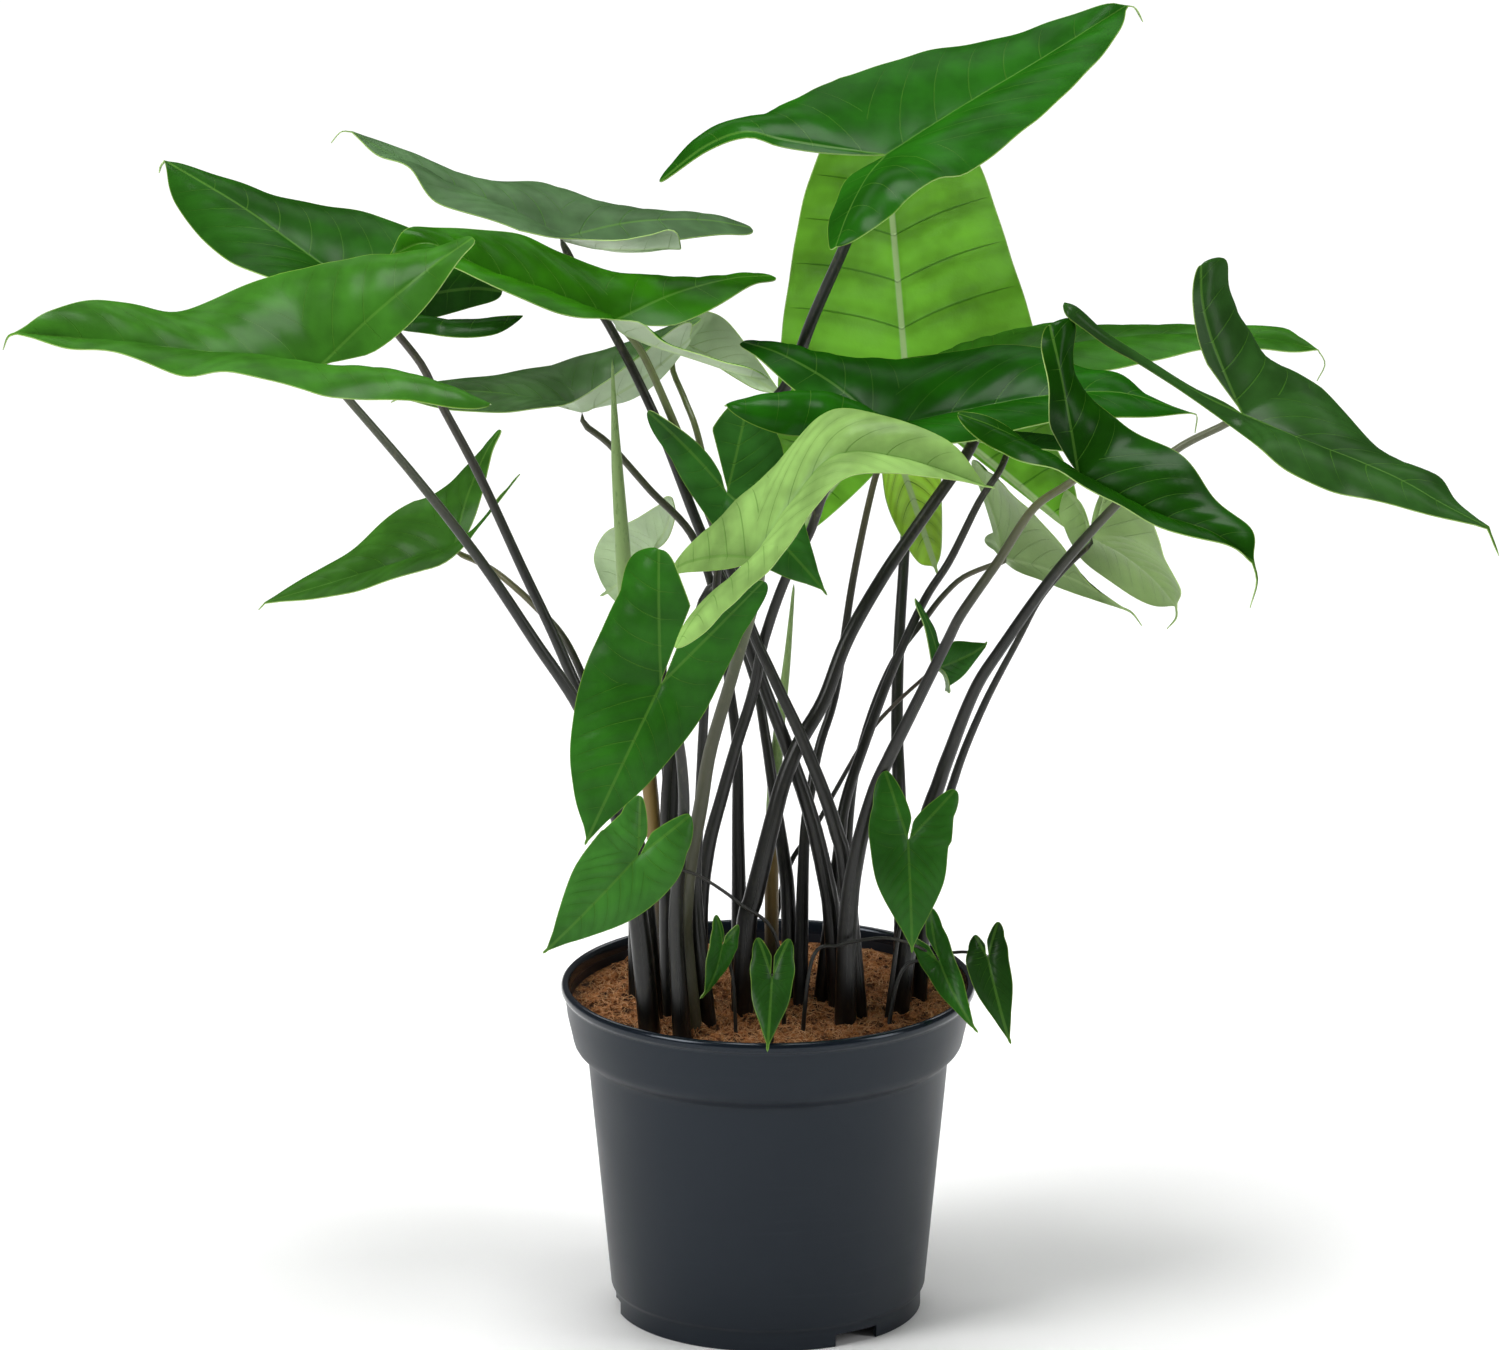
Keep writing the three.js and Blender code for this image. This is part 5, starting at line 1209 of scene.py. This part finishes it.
# Side veins painted dark as the shade they cast on a leaf lit through from behind.
SHADED_VEIN = (0.035, 0.150, 0.006, 1)
above = leaf_skin("leaf_upper_side", "tone_above", (VEIN_GREEN, RIB_GREEN, EDGE_GREEN),
                  (0.0007, 0.0011, 0.0006), (0.38, 0.42, 0.45), ((0.75, 1.30), (0.96, 1.03)),
                  (0.26, 0.36), (0.35, -0.5), Specular_IOR_Level=0.0, Coat_Weight=0.023,
                  Coat_Roughness=0.27, Coat_IOR=3.6)
below = leaf_skin("leaf_underside", "tone_below", (UNDER_VEIN, UNDER_RIB, UNDER_EDGE),
                  (0.0006, 0.0013, 0.0006), (0.5, 0.6, 0.6), ((0.85, 1.15), (0.99, 1.01)),
                  (0.42, 0.55), (0.5, 0.6), Specular_IOR_Level=0.2)
# Painted backlight: the undersides of the upright and hanging leaves take their bright painted tint. Their
# side veins are painted dark, as in light shining through the blade.
backlit = leaf_skin("leaf_underside_painted_backlight", "tone_below", (SHADED_VEIN, UNDER_RIB, UNDER_EDGE),
                    (0.0009, 0.0024, 0.0006), (0.60, 0.85, 0.6), ((0.72, 1.25), (0.90, 1.06)),
                    (0.24, 0.36), (0.4, 0.8), Specular_IOR_Level=0.05, Coat_Weight=0.06,
                    Coat_Roughness=0.20, Coat_IOR=3.0)
rim = leaf_skin("leaf_rim", "tone_below", (UNDER_VEIN, UNDER_RIB, UNDER_EDGE),
                (0.0006, 0.0011, 0.0006), (0.0, 0.0, 1.0), ((0.9, 1.1), (1.0, 1.0)),
                (0.45, 0.55), (0.2, 0.0), Specular_IOR_Level=0.3)

OTHER_SLOTS = {"young": "leaf_young", "upright": "leaf_backlit", "hanging": "leaf_backlit"}
draw = np.random.default_rng(21)
for name, leaf in LEAVES.items():
    body = blade(name, leaf, draw)
    is_small = name.startswith("baby") or name == "tiny"
    upper, under = TINTS_AND_PAINTED_LIGHT.get(name, BABY_TINT if is_small else MIDDLE_TINT)
    tint(body, "tone_above", upper)
    tint(body, "tone_below", under)
    smooth_by_angle(body, BLADE_CREASE)
    slot = OTHER_SLOTS.get(name, "leaf_green")
    for index, skin in enumerate((above, backlit if slot == "leaf_backlit" else below, rim)):
        body.data.materials[index] = skin
    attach(body, "root")
    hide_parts("blade_" + name)

# The stalks: one long smooth petiole to each leaf, near-black and faintly mottled, thick and
# sheathed where it leaves the clump and thinning to olive where it carries its blade.
STALK_SHAPE = (1, 0.86, 0.48, 0.30, 0.20, 0.11, 0)
STALK_RINGS = 72
STALK_SIDES = 18
STALK_EVENING = np.ones(13) / 13    # a stalk's girth is evened out over this many rings
STEM_WELD = 0.00001


def tube_net(path, radii, sides, twist=0.0, seam=0.0):
    """A net of places round a path: one ring for each radius, closed on itself."""
    shares = np.linspace(0, 1, len(radii))
    centre = path(shares)
    way = unit(np.gradient(centre, axis=0))
    first = across(SIGHT_RIGHT, way[0])
    normals = [first]
    for step in way[1:]:
        normals.append(across(normals[-1], step))
    normals = np.array(normals)
    beside = np.cross(way, normals)
    angle = np.linspace(0, 2 * math.pi, sides + 1)[None, :] + twist * shares[:, None]
    swell = 1 + seam * np.linspace(0, 1, sides + 1)[None, :]
    radius = np.asarray(radii)[:, None] * swell
    net = centre[:, None] + normals[:, None] * (radius * np.cos(angle))[..., None]
    return net + beside[:, None] * (radius * np.sin(angle))[..., None]


def closed_tube(name, path, radii, sides, **turns):
    """A round stem along a path, its ends drawn in and closed, with a map of how far up and round."""
    radii = np.concatenate([[0.0, 0.6 * radii[0]], radii, [0.75 * radii[-1], 0.0]])
    net = tube_net(path, radii, sides, **turns)
    body, row, column = shaped_net(name, net)
    body.data.flip_normals()
    index = corners(body)
    values = np.stack([column[index] / sides, row[index] / (len(radii) - 1)], axis=-1)
    pattern_map(body, "stem_map", values)
    bpy.ops.object.mode_set(mode="EDIT")
    bpy.ops.mesh.select_all(action="SELECT")
    bpy.ops.mesh.remove_doubles(threshold=STEM_WELD)
    bpy.ops.object.mode_set(mode="OBJECT")
    bpy.ops.object.shade_smooth()
    return body


def stem_skin(name, foot, middle, fleck, roughness, low_turn=(0.02, 0.22), high_turn=(0.62, 0.95)):
    """A stem's finish: its colour from foot to top, fine lengthwise lines, and faint flecks.

    The turns are the shares of the length over which foot becomes middle, and middle top.
    """
    skin, wires, shader = new_material(name, Specular_IOR_Level=0.42)
    round_, up = wires.split(wires.node("UVMap", uv_map="stem_map").outputs[0])[:2]
    low = wires.ranged(up, *low_turn)
    high = wires.ranged(up, *high_turn)
    own = wires.node("Attribute", attribute_name="tone_top").outputs["Color"]
    colour = wires.mixed(high, wires.mixed(low, foot, middle), own)
    flat = wires.squashed(wires.place(), (1.0, 1.0, 0.35))
    spots = wires.ranged(wires.noise(flat, 420.0, 4.0, 0.6), 0.52, 0.70)
    faint = wires.times(spots, wires.maths("ADD", 0.12, wires.times(high, 0.5)))
    lines = wires.feed(wires.node("CombineXYZ"), {0: wires.times(round_, 26.0), 1: wires.times(up, 3.0)})
    fine = wires.noise(lines.outputs[0], 1.0, 3.0)
    wires.feed(shader, {
        "Base Color": wires.mixed(faint, colour, fleck),
        "Roughness": wires.ranged(fine, 0.3, 0.7, roughness - 0.06, roughness + 0.08, "LINEAR")})
    wires.relief(shader, fine, 0.5, 0.0003)
    return skin


stalk_skin = stem_skin("stalk_black", (0.0034, 0.0034, 0.0030, 1), (0.0150, 0.0155, 0.0135, 1),
                       (0.09, 0.085, 0.045, 1), 0.32, (0.10, 0.40))
young_skin = stem_skin("stalk_young", (0.040, 0.034, 0.016, 1), (0.060, 0.062, 0.036, 1),
                       (0.16, 0.15, 0.07, 1), 0.42)
STALK_TOPS = {                      # a stalk's colour just under its blade
    "top": (0.024, 0.028, 0.022), "upright": (0.014, 0.016, 0.010), "young": (0.085, 0.110, 0.045),
    "fore_right": (0.110, 0.115, 0.050), "far_right": (0.115, 0.125, 0.070),
    "fore_left": (0.060, 0.070, 0.040), "upper_left": (0.055, 0.050, 0.038),
    "folded": (0.085, 0.085, 0.055), "hanging": (0.110, 0.100, 0.055),
    "back_left": (0.120, 0.150, 0.045), "mid_left": (0.110, 0.140, 0.040),
    "low_left": (0.120, 0.110, 0.040), "back_right": (0.130, 0.120, 0.080),
    "tiny": (0.060, 0.042, 0.024),
}
STALK_TOP = (0.020, 0.019, 0.012)


def stem_path(foot, readings):
    """A stem's way from its foot in the compost up through readings that are listed from the top."""
    return curve_through([np.array(foot) / 1000, *[seen(*reading) for reading in readings[::-1]]])


for name, leaf in LEAVES.items():
    path = stem_path(leaf["foot"], [leaf["joint"], *leaf["stalk"]])
    place = np.linspace(0, 1, STALK_RINGS)
    shape = np.interp(place, np.linspace(0, 1, len(STALK_SHAPE)), STALK_SHAPE)
    shape = np.pad(shape, len(STALK_EVENING) // 2, mode="edge")
    shape = np.convolve(shape, STALK_EVENING, mode="valid")
    radii = (leaf["thin"] + (leaf["thick"] - leaf["thin"]) * shape) / 1000
    body = closed_tube("petiole_" + name, path, radii, STALK_SIDES)
    is_young = name == "young"
    body.data.materials.append(young_skin if is_young else stalk_skin)
    tint(body, "tone_top", STALK_TOPS.get(name, STALK_TOP))
    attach(body, "root")
    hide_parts("stalk_" + name)

# The spears: two new leaves still rolled up tight, pale green, each a leaf wrapped round itself
# with its free edge running slowly round the roll.
SPEARS = {
    "spear_tall": {
        "path": [[612, 358, 2], [616, 450, 4], [622, 540, 6], [628, 620, 6], [640, 720, 2],
                 [652, 810, -4]],
        "foot": [-58, -8, 160], "radii": [0.9, 3.2, 4.4, 4.6, 4.4, 4.0, 3.6, 3.6],
    },
    "spear_short": {
        "path": [[794, 583, 30], [787, 660, 28], [778, 740, 26], [772, 830, 22]],
        "foot": [2, 15, 160], "radii": [0.9, 2.4, 3.6, 3.8, 3.8, 3.8],
    },
}
SPEAR_TOP = (0.27, 0.41, 0.14)
SPEAR_SIDES = 24
SPEAR_TWIST = 2.4                   # how far the free edge runs round the roll, in radians
SPEAR_SEAM = 0.10                   # how far it stands off the roll, as a share of the radius
spear_skin = stem_skin("spear_green", (0.020, 0.014, 0.008, 1), (0.200, 0.130, 0.035, 1),
                       (0.12, 0.22, 0.05, 1), 0.42, (0.16, 0.30), (0.38, 0.52))
for name, spear in SPEARS.items():
    path = stem_path(spear["foot"], spear["path"])
    place = np.linspace(0, 1, STALK_RINGS)
    radii = np.interp(place, np.linspace(0, 1, len(spear["radii"])), spear["radii"][::-1]) / 1000
    body = closed_tube(name + "_roll", path, radii, SPEAR_SIDES, twist=SPEAR_TWIST, seam=SPEAR_SEAM)
    body.data.materials.append(spear_skin)
    tint(body, "tone_top", SPEAR_TOP)
    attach(body, "root")
    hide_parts(name)
